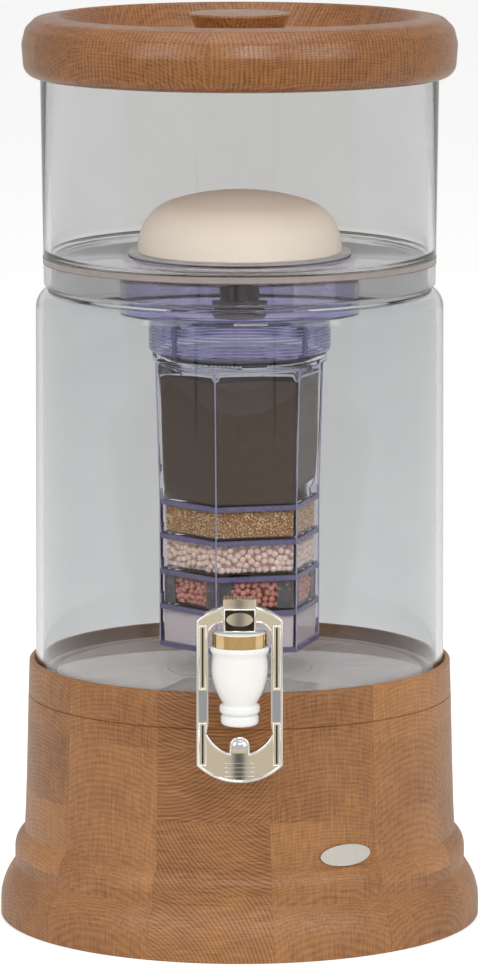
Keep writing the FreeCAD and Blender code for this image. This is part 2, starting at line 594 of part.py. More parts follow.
# Wooden base
keep("base_drum", turned("drum_turned", [
    corner("base_bore", "0"),
    corner("foot_radius", "0", rounding="foot_edge"),
    corner("foot_radius", "foot_band", arc="foot_curve"),
    corner("step_radius", "foot_curve_top"),
    corner("step_radius", "step_top", arc="neck_curve"),
    corner("wall_foot_radius", "wall_foot_height"),
    corner("groove_radius + wall_slope * groove_half_width", "groove_height - groove_half_width"),
    corner("groove_radius - groove_depth", "groove_height"),
    corner("groove_radius - wall_slope * groove_half_width", "groove_height + groove_half_width"),
    corner("wall_top_radius", "base_height", rounding="rim_edge"),
    corner("seat_radius", "base_height", rounding="rim_inner_edge"),
    corner("seat_radius", "ledge_height"),
    corner("base_bore", "ledge_height"),
]))
keep("base_board", rod("board_disc", "seat_radius - board_play", "board_thick", Placement__Base__z="ledge_height"))

# Bare badge, curved to lie on the base wall
badge_low = "(badge_height - badge_tall)"
badge_high = "(badge_height + badge_tall)"
badge_back = "wall_foot_radius + badge_glue - wall_slope * ({} - wall_foot_height)"
badge_skin = turned("badge_skin", [
    corner(badge_back.format(badge_low), badge_low),
    corner(badge_back.format(badge_low) + " + badge_thick", badge_low),
    corner(badge_back.format(badge_high) + " + badge_thick", badge_high),
    corner(badge_back.format(badge_high), badge_high),
])
badge_oval = doc.addObject("Part::Ellipse", "badge_oval")
badge_oval.Placement = Placement(Vector(), Rotation(Vector(1, 0, 0), 90))
bind(badge_oval, MajorRadius="badge_width / 2", MinorRadius="badge_tall / 2", Placement__Base__z="badge_height")
badge_rod = doc.addObject("Part::Extrusion", "badge_rod")
badge_rod.Base = badge_oval
badge_rod.Solid = True
badge_rod.DirMode = "Custom"
badge_rod.Dir = Vector(0, -1, 0)
bind(badge_rod, LengthFwd="wall_foot_radius + badge_width")
badge = doc.addObject("Part::Common", "badge_cut_out")
badge.Base = badge_skin
badge.Tool = badge_rod
keep("badge_plate", bind(badge, Placement__Rotation__Angle="badge_angle"))

# Lower tank, with the hole for the tap's shank
tank = turned("tank_turned", [
    corner("0", "board_top"),
    corner("tank_foot_radius", "board_top", rounding="tank_corner"),
    corner("tank_top_radius", "shoulder_height", arc="shoulder_curve"),
    corner("lip_radius", "shoulder_height + sqrt(shoulder_curve ^ 2"
           " - (lip_radius - tank_top_radius + shoulder_curve) ^ 2)"),
    corner("lip_radius", "lip_height", rounding="lip_edge"),
    corner("lip_inner", "lip_height", rounding="lip_edge"),
    corner("lip_inner", "shoulder_height + sqrt((shoulder_curve - tank_wall) ^ 2"
           " - (lip_inner - tank_top_radius + shoulder_curve) ^ 2)", arc="shoulder_curve - tank_wall", left=False),
    corner("tank_top_radius - tank_wall", "shoulder_height"),
    corner("tank_foot_radius - tank_wall", "tank_inside", rounding="tank_corner - tank_wall / 2"),
    corner("punt_radius + punt_rise", "tank_inside"),
    corner("punt_radius", "tank_inside + punt_rise"),
    corner("0", "tank_inside + punt_rise"),
])
tank_hole = rod("tank_hole", "shank_radius + shank_play", "2 * tank_wall + washer_radius", axis="Y",
                Placement__Base__y="-(tank_at_tap - tank_wall - washer_radius / 2)",
                Placement__Base__z="tap_height")
keep("lower_tank", cut("lower_tank_drilled", tank, tank_hole))

# Upper tank: walls, floor, skirt and the spigot that drops into the mouth below
keep("upper_tank", turned("upper_tank_turned", [
    corner("stem_radius + stem_play", "upper_floor_high"),
    corner("upper_at_floor - upper_wall", "upper_floor_high", rounding="upper_corner"),
    corner("upper_top_radius - upper_wall", "upper_top", rounding="upper_edge"),
    corner("upper_top_radius", "upper_top", rounding="upper_edge"),
    corner("skirt_radius", "lip_height", rounding="upper_edge"),
    corner("skirt_radius - skirt_wall", "lip_height"),
    corner("skirt_radius - skirt_wall", "upper_floor_low"),
    corner("spigot_radius", "upper_floor_low"),
    corner("spigot_radius", "spigot_low", rounding="lip_edge"),
    corner("spigot_radius - spigot_wall", "spigot_low", rounding="lip_edge"),
    corner("spigot_radius - spigot_wall", "upper_floor_low"),
    corner("stem_radius + stem_play", "upper_floor_low"),
]))

# Lid: ring with rebate, inset panel, knob and its screw
keep("lid_ring", turned("lid_ring_turned", [
    corner("plug_bore", "plug_low"),
    corner("upper_top_radius - upper_wall - plug_gap", "plug_low", rounding="rim_inner_edge"),
    corner("upper_top_radius - upper_wall - plug_gap", "upper_top"),
    corner("upper_top_radius + rim_gap", "upper_top"),
    corner("upper_top_radius + rim_gap", "lid_low", rounding="rim_inner_edge"),
    corner("lid_low_radius", "lid_low", rounding="lid_low_round"),
    corner("lid_radius", "lid_widest", rounding="lid_side_round"),
    corner("lid_brow_radius", "lid_brow", rounding="lid_brow_round"),
    corner("lid_brow_inner", "lid_brow_top", rounding="lid_brow_round"),
    corner("crest_radius", "crest_height", rounding="crest_round"),
    corner("panel_radius + panel_play + dish_slope", "panel_high + dish_slope", rounding="lid_brow_round"),
    corner("panel_radius + panel_play", "panel_high"),
    corner("panel_radius + panel_play", "panel_low"),
    corner("plug_bore", "panel_low"),
]))
keep("lid_panel", tube("lid_panel_turned", "panel_radius", "screw_radius + screw_play", "panel_low", "panel_high"))
keep("lid_knob", turned("lid_knob_turned", [
    corner("screw_radius + screw_play", "panel_high"),
    corner("knob_foot", "panel_high"),
    corner("knob_foot", "knob_waist", rounding="knob_hollow / 2"),
    corner("knob_radius", "knob_flare", rounding="knob_round"),
    corner("knob_radius", "knob_top", rounding="knob_round"),
    corner("0", "knob_top"),
    corner("0", "panel_low + screw_length + screw_play"),
    corner("screw_radius + screw_play", "panel_low + screw_length + screw_play"),
]))
keep("lid_screw", turned("lid_screw_turned", [
    corner("0", "panel_low - screw_head_tall"),
    corner("screw_head", "panel_low - screw_head_tall", rounding="screw_head_tall / 2"),
    corner("screw_head", "panel_low"),
    corner("screw_radius", "panel_low"),
    corner("screw_radius", "panel_low + screw_length"),
    corner("0", "panel_low + screw_length"),
]))

# Ceramic dome on its clear plate, whose stem goes down through the floor
dome = turned("dome_turned", [
    corner("dome_inner", "dome_low"),
    corner("dome_radius", "dome_low"),
    corner("dome_radius", "dome_meet", arc="dome_crown"),
    corner("0", "dome_top"),
    corner("0", "dome_top - dome_wall", arc="dome_inner_crown", left=False),
    corner("dome_inner", "dome_inner_meet"),
])
rounded_edge(dome, "dome_outer_shoulder", "dome_shoulder", "dome_radius", "dome_meet")
rounded_edge(dome, "dome_inner_shoulder", "dome_shoulder - dome_wall", "dome_inner", "dome_inner_meet")
keep("ceramic_dome", dome)
keep("dome_plate", turned("dome_plate_turned", [
    corner("stem_bore", "stem_low"),
    corner("stem_radius", "stem_low"),
    corner("stem_radius", "upper_floor_high + plate_gap + gasket_recess"),
    corner("gasket_radius + gasket_play", "upper_floor_high + plate_gap + gasket_recess"),
    corner("gasket_radius + gasket_play", "upper_floor_high + plate_gap"),
    corner("plate_radius", "upper_floor_high + plate_gap"),
    corner("plate_radius", "dome_low"),
    corner("dome_inner - plate_play", "dome_low"),
    corner("dome_inner - plate_play", "dome_low + plate_step"),
    corner("stem_bore", "dome_low + plate_step"),
]))
keep("dome_gasket", tube("dome_gasket_ring", "gasket_radius", "stem_radius + stem_play", "upper_floor_high",
                         "upper_floor_high + plate_gap + gasket_recess"))

# Bowl under the floor, its seal and the nut that holds dome and bowl
keep("bowl_gasket", tube("bowl_gasket_ring", "bowl_gasket_radius", "stem_radius + stem_play", "bowl_top",
                         "upper_floor_low"))
keep("filter_bowl", turned("filter_bowl_turned", [
    corner("stem_radius + stem_play", "nut_high"),
    corner("hub_radius", "nut_high"),
    corner("hub_radius", "bowl_top - bowl_plate"),
    corner("bowl_radius - bowl_wall", "bowl_top - bowl_plate"),
    corner("bowl_radius - bowl_wall", "bowl_low + bowl_wall / 2"),
    corner("bowl_neck_radius - bowl_neck_wall", "bowl_cone_low + bowl_wall / 2"),
    corner("bowl_neck_radius - bowl_neck_wall", "bowl_neck_low"),
    corner("bowl_neck_radius", "bowl_neck_low"),
    corner("bowl_neck_radius", "bowl_cone_low"),
    corner("bowl_cone_radius", "bowl_cone_low"),
    corner("bowl_radius", "bowl_low", rounding="bowl_edge"),
    corner("bowl_radius", "bowl_top", rounding="bowl_edge / 2"),
    corner("stem_radius + stem_play", "bowl_top"),
]))
keep("stem_nut", turned("stem_nut_turned", [
    corner("stem_radius + nut_play", "nut_high - nut_tall"),
    corner("nut_low_radius", "nut_high - nut_tall"),
    corner("nut_top_radius", "nut_high"),
    corner("stem_radius + nut_play", "nut_high"),
]))

# Cartridge: union collar, six-sided shell with its neck ring, and the inlet strainer
keep("cartridge_collar", tube("cartridge_collar_turned", "collar_radius", "bowl_neck_radius + collar_play",
                              "collar_low", "collar_high"))
neck_ring = turned("neck_ring", [
    corner("neck_hole", "neck_low"),
    corner("neck_radius", "neck_low"),
    corner("neck_radius", "collar_low"),
    corner("neck_radius - neck_wall", "collar_low"),
    corner("neck_radius - neck_wall", "neck_low + neck_floor"),
    corner("neck_hole", "neck_low + neck_floor"),
])
shell_outside = hexagon("shell_outside", "hexagon_low", "carbon_level", "hexagon_top", "neck_low")
shell_inside = hexagon("shell_inside", "hexagon_low - hexagon_wall", "carbon_level + shell_floor",
                       "hexagon_top - hexagon_wall", "neck_low")
keep("cartridge_shell", joined("cartridge_shell_joined", cut("shell_walls", shell_outside, shell_inside), neck_ring))
strainer = rod("strainer_disc", "strainer_radius", "strainer_thick", Placement__Base__z="neck_low + neck_floor")
strainer_holes = []
STRAINER_HOLES = 12
for i in range(STRAINER_HOLES):
    way = f"{i} * {FULL_TURN} / {STRAINER_HOLES}"
    strainer_holes.append(rod(
        f"strainer_hole_{i}", "strainer_hole", "strainer_thick",
        Placement__Base__x=f"strainer_ring * cos({way})",
        Placement__Base__y=f"strainer_ring * sin({way})",
        Placement__Base__z="neck_low + neck_floor"))
keep("inlet_strainer", cut("strainer_drilled", strainer, joined("strainer_holes", *strainer_holes)))

# Carbon, then four stacked trays, each with its bed of media
keep("carbon_fill", hexagon("carbon_prism", "hexagon_low - hexagon_wall - bed_play", "carbon_level + shell_floor",
                            "hexagon_top - hexagon_wall - 2 * bed_play", "carbon_top"))
LEVELS = ["carbon_level", "granule_level", "bead_level", "pellet_level", "mineral_level"]
BEDS = ["granule_bed", "bead_bed", "pellet_bed", "mineral_bed"]
beds = {}
for i, bed in enumerate(BEDS):
    high, low = LEVELS[i], LEVELS[i + 1]
    outside = hexagon(f"tray_{i}_outside", "tray_low_radius", low, "hexagon_low", high)
    inside = hexagon(f"tray_{i}_inside", "tray_low_radius - hexagon_wall", f"{low} + tray_floor",
                     "hexagon_low - hexagon_wall", high)
    keep(bed.replace("bed", "tray"), cut(f"tray_{i}_hollow", outside, inside))
    beds[bed] = hexagon(f"{bed}_prism", "tray_low_radius - hexagon_wall - bed_play", f"{low} + tray_floor",
                        "hexagon_low - hexagon_wall - 2 * bed_play", f"{high} - bed_headroom")

# The pellet tray is split into pockets by three crossing webs
def webs(name, reach, thick):
    """Three upright webs that cross on the axis, from corner to corner of the hexagon."""
    sheets = []
    for k in range(3):
        web = block(f"{name}_{k}", f"2 * ({reach})", thick, f"{pocket_high} - ({pocket_low})")
        way = f"hexagon_turn + {k} * 60"
        bind(web, Placement__Rotation__Angle=way,
             Placement__Base__x=f"({thick}) / 2 * sin({way}) - ({reach}) * cos({way})",
             Placement__Base__y=f"-({thick}) / 2 * cos({way}) - ({reach}) * sin({way})",
             Placement__Base__z=pocket_low)
        sheets.append(web)
    return joined(name, *sheets)


pocket_low = "pellet_level + tray_floor"
pocket_high = "bead_level - bed_headroom"
keep("pocket_divider", webs("divider_webs", "tray_low_radius - hexagon_wall - bed_play", "divider_thick"))
pocket_room = webs("divider_room", "hexagon_low", "divider_thick + 2 * bed_play")
beds["pellet_bed"] = cut("pellet_pockets", beds["pellet_bed"], pocket_room)
for bed, thing in beds.items():
    keep(bed, thing)

# Tap body: vase-shaped spout with the shank that passes through the tank wall
spout = turned("spout_turned", [
    corner("0", "spout_low"),
    corner("bead_low_radius", "spout_low", rounding="bead_round"),
    corner("bead_low_radius", "bead_low_top", rounding="bead_round"),
    corner("bead_waist", "bead_low_top"),
    corner("bead_waist", "bead_high_low"),
    corner("bead_high_radius", "bead_high_low", rounding="bead_round - bead_waist / 30"),
    corner("bead_high_radius", "bead_high_top", rounding="bead_round"),
    corner("spout_neck", "bead_high_top"),
    corner("belly_radius", "belly_height", rounding="belly_round"),
    corner("belly_neck", "belly_neck_height"),
    corner("flare_radius", "flare_low", rounding="flare_round / 2"),
    corner("flare_radius", "flare_high", rounding="flare_round"),
    corner("belly_neck", "flare_high"),
    corner("belly_neck", "collar_top"),
    corner("0", "collar_top"),
])
shank = rod("shank", "shank_radius", "tap_reach - shank_inside", axis="Y", Placement__Base__y="tap_reach - shank_inside",
            Placement__Base__z="tap_height")
flange = rod("shank_flange", "flange_radius", "flange_thick", axis="Y",
             Placement__Base__y="tap_reach - (outer_washer_face + washer_thick)", Placement__Base__z="tap_height")
chamber = rod("valve_chamber", "chamber_radius", "collar_top - seat_height", Placement__Base__z="seat_height")
bore = rod("spout_bore_rod", "spout_bore", "collar_top - spout_low", Placement__Base__z="spout_low")
mouth = rod("spout_mouth_rod", "mouth_bore", "mouth_high - spout_low", Placement__Base__z="spout_low")
inlet = rod("shank_bore_rod", "shank_bore", "tap_reach - shank_inside", axis="Y",
            Placement__Base__y="tap_reach - shank_inside", Placement__Base__z="tap_height")
tap_solid = joined("tap_solid", spout, shank, flange)
tap_hollow = joined("tap_hollow", chamber, bore, mouth, inlet)
keep("tap_body", bind(cut("tap_bored", tap_solid, tap_hollow), Placement__Base__y="-tap_reach"))

# Washers and nut that clamp the shank to the tank wall
AT_TAP = {"Placement__Base__z": "tap_height"}
for name, face, direction in (("tap_outer_washer", "-outer_washer_face", 0), ("tap_inner_washer", "-inner_washer_face", 1)):
    place = {"Placement__Base__y": f"{face} + {direction} * washer_thick", **AT_TAP}
    disc = rod(f"{name}_disc", "washer_radius", "washer_thick", axis="Y", **place)
    hole = rod(f"{name}_hole", "shank_radius + washer_play", "washer_thick", axis="Y", **place)
    keep(name, cut(f"{name}_ring", disc, hole))
nut_place = {"Placement__Base__y": "-(inner_washer_face - washer_thick - tap_nut_thick)", **AT_TAP}
nut_blank = doc.addObject("Part::Prism", "tap_nut_blank")
nut_blank.Polygon = 6
nut_blank.Placement = Placement(Vector(), Rotation(Vector(1, 0, 0), 90))
bind(nut_blank, Circumradius="tap_nut_radius", Height="tap_nut_thick", **nut_place)
nut_hole = rod("tap_nut_hole", "shank_radius + washer_play", "tap_nut_thick", axis="Y", **nut_place)
keep("tap_nut", cut("tap_nut_tapped", nut_blank, nut_hole))

# Bonnet cap, trim ring, valve stem, seal and spring, all on the spout's axis
AT_SPOUT = {"Placement__Base__y": "-tap_reach"}
keep("tap_bonnet_cap", turned("bonnet_cap_turned", [
    corner("valve_radius + valve_play", "cap_spigot_low"),
    corner("cap_spigot", "cap_spigot_low"),
    corner("cap_spigot", "collar_top"),
    corner("cap_radius", "collar_top"),
    corner("cap_radius", "cap_top", rounding="cap_round"),
    corner("valve_radius + valve_play", "cap_top"),
], **AT_SPOUT))
keep("tap_trim_ring", tube("trim_ring_turned", "cap_radius + ring_play + ring_wall", "cap_radius + ring_play",
                           "ring_low", "ring_high", **AT_SPOUT))
stem_rod = rod("valve_rod", "valve_radius", "pin_height - valve_low", Placement__Base__z="valve_low")
eye = rod("valve_eye", "eye_radius", "2 * eye_half", axis="X", Placement__Base__x="-eye_half",
          Placement__Base__z="pin_height")
eye_hole = rod("valve_eye_hole", "pin_radius + pin_play", "2 * eye_half", axis="X", Placement__Base__x="-eye_half",
               Placement__Base__z="pin_height")
keep("valve_stem", bind(cut("valve_stem_drilled", joined("valve_stem_joined", stem_rod, eye), eye_hole), **AT_SPOUT))
keep("valve_seal", turned("valve_seal_turned", [
    corner("0", "seal_tip_low"),
    corner("seal_tip", "seal_tip_low"),
    corner("seal_tip", "seat_height + seal_gap"),
    corner("seal_radius", "seat_height + seal_gap"),
    corner("seal_radius", "seal_top"),
    corner("valve_radius", "seal_top"),
    corner("valve_radius", "valve_low"),
    corner("0", "valve_low"),
], **AT_SPOUT))
coil = doc.addObject("Part::Helix", "spring_coil")
bind(coil, Radius="spring_radius", Height="cap_spigot_low - seal_top - 2 * (spring_wire + spring_gap)",
     Pitch="(cap_spigot_low - seal_top - 2 * (spring_wire + spring_gap)) / spring_turns",
     Placement__Base__z="seal_top + spring_wire + spring_gap")
wire = doc.addObject("Part::RegularPolygon", "spring_wire_section")
wire.Polygon = 6
wire.Placement = Placement(Vector(), Rotation(Vector(1, 0, 0), 90))
bind(wire, Circumradius="spring_wire", Placement__Base__x="spring_radius",
     Placement__Base__z="seal_top + spring_wire + spring_gap")
spring = doc.addObject("Part::Sweep", "spring_sweep")
spring.Sections = [wire]
spring.Spine = (coil, ["Edge1"])
spring.Solid = True
spring.Frenet = True
keep("valve_spring", bind(spring, **AT_SPOUT))

# Lever: chrome frame with its head block, the pin through it and the oval boss
frame = padded("lever_frame_padded", "lever_thick", [
    corner("-lever_half", "lever_corner", arc="lever_low_curve"),
    corner("lever_half", "lever_corner"),
    corner("lever_half", "lever_shoulder", arc="lever_top_curve"),
    corner("-lever_half", "lever_shoulder"),
], [
    corner("-lever_inner", "window_top", rounding="window_round"),
    corner("-lever_inner", "window_narrow"),
    corner("-lever_low_inner", "window_low", arc="plate_curve"),
    corner("-thumb_half", "plate_dip"),
    corner("-thumb_half", "thumb_height", arc="thumb_curve", left=False),
    corner("thumb_half", "thumb_height"),
    corner("thumb_half", "plate_dip", arc="plate_curve"),
    corner("lever_low_inner", "window_low"),
    corner("lever_inner", "window_narrow"),
    corner("lever_inner", "window_top", rounding="window_round"),
])
head = block("head_block", "2 * block_half", "2 * block_half_deep", "block_top - block_low",
             Placement__Base__x="-block_half", Placement__Base__y="-block_half_deep", Placement__Base__z="block_low")
slot = block("head_slot", "2 * slot_half", "2 * slot_half_deep", "slot_top - block_low",
             Placement__Base__x="-slot_half", Placement__Base__y="-slot_half_deep", Placement__Base__z="block_low")
pin_hole = rod("pin_hole", "pin_radius", "2 * block_half", axis="X", Placement__Base__x="-block_half",
               Placement__Base__z="pin_height")
lever_solid = joined("lever_solid", frame, head)
keep("lever_frame", bind(cut("lever_cut", lever_solid, joined("lever_hollow", slot, pin_hole)), **AT_SPOUT))
keep("lever_pin", rod("lever_pin_rod", "pin_radius", "2 * block_half", axis="X", Placement__Base__x="-block_half",
                      Placement__Base__z="pin_height", **AT_SPOUT))
boss_oval = doc.addObject("Part::Ellipse", "boss_oval")
boss_oval.Placement = Placement(Vector(), Rotation(Vector(1, 0, 0), 90))
bind(boss_oval, MajorRadius="boss_half", MinorRadius="boss_half_tall", Placement__Base__z="boss_height",
     Placement__Base__y="-(tap_reach + block_half_deep)")
boss = doc.addObject("Part::Extrusion", "boss_extrusion")
boss.Base = boss_oval
boss.Solid = True
boss.DirMode = "Custom"
boss.Dir = Vector(0, -1, 0)
keep("lever_boss", bind(boss, LengthFwd="boss_thick"))

doc.recompute()
for thing in doc.Objects:
    broken = {"Invalid", "Error"} & set(thing.State)
    if broken:
        raise RuntimeError(f"{thing.Name} is {broken}: {thing.getStatusString()}")
for name, thing in NODES.items():
    shape = thing.Shape
    if shape.isNull() or not shape.isValid() or not shape.Solids:
        raise RuntimeError(f"{name} has no valid solid")

os.makedirs("parts", exist_ok=True)
for name, thing in NODES.items():
    thing.Shape.exportStep(f"parts/{name}.step")
    box = thing.Shape.BoundBox
    print(f"{name}: {len(thing.Shape.Solids)} solid, {thing.Shape.Volume / 1000:.2f} ml,"
          f" {box.XMin:.1f} {box.YMin:.1f} {box.ZMin:.1f} to {box.XMax:.1f} {box.YMax:.1f} {box.ZMax:.1f}")
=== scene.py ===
"""Looks of a gravity water filter: clear tanks, turned wood, media cartridge and push-lever tap.

Lengths are in millimetres on the part's own axes, and in the studio in metres.
"""

import json
import logging
import math
from dataclasses import dataclass, field
from enum import Enum

import bmesh
import bpy
from mathutils import Matrix, Vector

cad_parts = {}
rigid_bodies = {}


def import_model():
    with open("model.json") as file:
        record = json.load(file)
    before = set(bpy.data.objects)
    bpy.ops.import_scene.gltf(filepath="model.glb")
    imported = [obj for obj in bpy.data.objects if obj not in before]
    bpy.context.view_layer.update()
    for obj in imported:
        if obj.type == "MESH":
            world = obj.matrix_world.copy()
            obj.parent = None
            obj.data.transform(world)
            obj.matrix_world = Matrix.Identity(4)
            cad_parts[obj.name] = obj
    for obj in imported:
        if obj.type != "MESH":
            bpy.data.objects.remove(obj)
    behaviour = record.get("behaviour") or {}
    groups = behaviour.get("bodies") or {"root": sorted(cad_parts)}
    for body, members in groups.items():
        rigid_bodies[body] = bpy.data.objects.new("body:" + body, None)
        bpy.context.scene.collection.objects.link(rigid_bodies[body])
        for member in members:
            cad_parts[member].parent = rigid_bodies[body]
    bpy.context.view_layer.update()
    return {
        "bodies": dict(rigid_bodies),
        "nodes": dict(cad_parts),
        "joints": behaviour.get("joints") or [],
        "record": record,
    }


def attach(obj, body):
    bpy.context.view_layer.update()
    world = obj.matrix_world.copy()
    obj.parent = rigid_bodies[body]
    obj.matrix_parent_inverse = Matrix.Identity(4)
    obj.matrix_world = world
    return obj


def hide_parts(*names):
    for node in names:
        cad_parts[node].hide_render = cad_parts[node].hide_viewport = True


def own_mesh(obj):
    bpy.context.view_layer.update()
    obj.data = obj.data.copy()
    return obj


LOG = logging.getLogger("filter_scene")
MM = 0.001
TURN = 2.0 * math.pi
# Scale at which a wave texture repeats once in a metre
ONE_WAVE = 0.314
Corner = tuple[float, float, float]
Point = tuple[float, float]


class Grain(Enum):
    """How the wood of a piece is glued up."""

    STAVES = "staves"
    BOARD = "board"


def srgb(code: str) -> tuple[float, float, float, float]:
    """Turn an sRGB hex code into a linear colour.

    Args:
        code: Six hex digits after a hash.

    Returns:
        Linear red, green, blue and alpha 1.
    """
    parts = [int(code[i:i + 2], 16) / 255 for i in (1, 3, 5)]
    linear = [c / 12.92 if c <= 0.04045 else ((c + 0.055) / 1.055) ** 2.4 for c in parts]
    return (linear[0], linear[1], linear[2], 1.0)


def feed(node: bpy.types.Node, values: dict) -> None:
    """Set a node's inputs, or link sockets into them.

    Args:
        node: The node.
        values: Numbers, colours, sockets or signals by input name or index.
    """
    for key, value in values.items():
        source = value.socket if isinstance(value, Signal) else value
        if isinstance(source, bpy.types.NodeSocket):
            node.id_data.links.new(source, node.inputs[key])
        else:
            node.inputs[key].default_value = source


def add(tree: bpy.types.NodeTree, kind: str, settings: dict | None = None,
        links: dict | None = None) -> bpy.types.Node:
    """Add a node with its settings and links.

    Args:
        tree: The node tree.
        kind: The node's type name.
        settings: Properties by name, or socket values where the key is a socket.
        links: Sockets or signals that feed this node, by input name or index.

    Returns:
        The new node.
    """
    new = tree.nodes.new(kind)
    for key, value in (settings or {}).items():
        if isinstance(key, str) and hasattr(new, key):
            setattr(new, key, value)
        else:
            feed(new, {key: value})
    feed(new, links or {})
    return new


class Signal:
    """A number that flows through a node tree; arithmetic on it adds nodes."""

    def __init__(self, socket: bpy.types.NodeSocket) -> None:
        """Wrap an output socket."""
        self.socket = socket

    def step(self, kind: str, *more: "Signal | float") -> "Signal":
        """Put this number and others through one arithmetic node.

        Args:
            kind: The node's operation.
            more: Its other inputs, in order.

        Returns:
            The node's result.
        """
        node = add(self.socket.id_data, "ShaderNodeMath", {"operation": kind})
        feed(node, dict(enumerate((self, *more))))
        return Signal(node.outputs[0])

    def __add__(self, other: "Signal | float") -> "Signal":
        """Both together."""
        return self.step("ADD", other)

    def __sub__(self, other: "Signal | float") -> "Signal":
        """This less the other."""
        return self.step("SUBTRACT", other)

    def __rsub__(self, other: float) -> "Signal":
        """A plain number less this."""
        return self.step("MULTIPLY_ADD", -1.0, other)

    def __mul__(self, other: "Signal | float") -> "Signal":
        """Both multiplied."""
        return self.step("MULTIPLY", other)

    def __truediv__(self, other: float) -> "Signal":
        """This over a plain number."""
        return self.step("DIVIDE", other)


def blank(title: str) -> tuple[bpy.types.Material, bpy.types.NodeTree, bpy.types.Node]:
    """Start a node material.

    Args:
        title: Its name.

    Returns:
        The material, its tree and its shader.
    """
    material = bpy.data.materials.new(title)
    material.use_nodes = True
    return material, material.node_tree, material.node_tree.nodes["Principled BSDF"]


def two_tone(tree: bpy.types.NodeTree, share: bpy.types.NodeSocket | Signal, stops: Point,
             colours: tuple[str, str]) -> bpy.types.NodeSocket:
    """Blend between two colours.

    Args:
        tree: The material's tree.
        share: What runs from the first colour to the second.
        stops: Its values at the two colours.
        colours: Both colours as hex codes.

    Returns:
        The blended colour.
    """
    ramp = add(tree, "ShaderNodeValToRGB", {}, {"Fac": share})
    for end, stop, colour in zip(ramp.color_ramp.elements, stops, colours):
        end.position = stop
        end.color = srgb(colour)
    return ramp.outputs["Color"]


def wave(tree: bpy.types.NodeTree, where: bpy.types.NodeSocket, period_mm: float, settings: dict) -> Signal:
    """Add a wave pattern.

    Args:
        tree: The material's tree.
        where: Place that it follows.
        period_mm: Distance between two waves.
        settings: Its kind, direction and distortion.

    Returns:
        The pattern.
    """
    scale = {"Scale": ONE_WAVE / (period_mm * MM)}
    return Signal(add(tree, "ShaderNodeTexWave", {**settings, **scale}, {"Vector": where}).outputs["Fac"])


def noise(tree: bpy.types.NodeTree, where: bpy.types.NodeSocket, scale: Corner, detail: float) -> Signal:
    """Add a noise pattern.

    Args:
        tree: The material's tree.
        where: Place that it follows.
        scale: Its scale along each axis.
        detail: How fine it gets.

    Returns:
        The pattern.
    """
    mapped = add(tree, "ShaderNodeMapping", {"Scale": scale}, {"Vector": where}).outputs[0]
    settings = {"Scale": 1.0, "Detail": detail}
    return Signal(add(tree, "ShaderNodeTexNoise", settings, {"Vector": mapped}).outputs["Fac"])


@dataclass(frozen=True)
class Finish:
    """A plain finish with a fine mottle in colour and roughness."""

    title: str
    colour: str
    second: str
    roughness: float
    grit_mm: float = 2.0
    bump_mm: float = 0.02
    metallic: float = 0.0
    ior: float = 1.5
    transmission: float = 0.0
    coat: float = 0.0
    lamp_tint: str = "#FFFFFF"
    stretch: Corner = (1.0, 1.0, 1.0)

    def build(self) -> bpy.types.Material:
        """Make the material.

        Returns:
            The node material.
        """
        material, tree, shader = blank(self.title)
        where = add(tree, "ShaderNodeTexCoord").outputs["Object"]
        mapped = add(tree, "ShaderNodeMapping", {"Scale": self.stretch}, {"Vector": where}).outputs["Vector"]
        grit = add(tree, "ShaderNodeTexNoise", {"Scale": 1 / (self.grit_mm * MM), "Detail": 4.0},
                   {"Vector": mapped}).outputs["Fac"]
        rough = add(tree, "ShaderNodeMapRange",
                    {"To Min": self.roughness * 0.85, "To Max": self.roughness * 1.15}, {"Value": grit})
        feed(shader, {"Base Color": two_tone(tree, grit, (0.35, 0.65), (self.colour, self.second)),
                      "Roughness": rough.outputs["Result"], "Metallic": self.metallic,
                      "Transmission Weight": self.transmission, "Coat Weight": self.coat})
        if self.bump_mm:
            bump = add(tree, "ShaderNodeBump", {"Distance": self.bump_mm * MM, "Strength": 1.0},
                       {"Height": grit})
            feed(shader, {"Normal": bump.outputs["Normal"]})
        if not self.metallic:
            feed(shader, {"IOR": self.ior})
        if self.transmission > 0.5:
            self.let_lamps_through(tree, shader)
        return material

    def let_lamps_through(self, tree: bpy.types.NodeTree, shader: bpy.types.Node) -> None:
        """Let rays from lamps pass the clear material, so that what is behind it is lit.

        Args:
            tree: The material's tree.
            shader: Its shader.
        """
        open_way = add(tree, "ShaderNodeBsdfTransparent", {"Color": srgb(self.lamp_tint)}).outputs[0]
        to_lamp = add(tree, "ShaderNodeLightPath").outputs["Is Shadow Ray"]
        mixed = add(tree, "ShaderNodeMixShader", {}, {0: to_lamp, 1: shader.outputs[0], 2: open_way})
        feed(tree.nodes["Material Output"], {"Surface": mixed.outputs[0]})


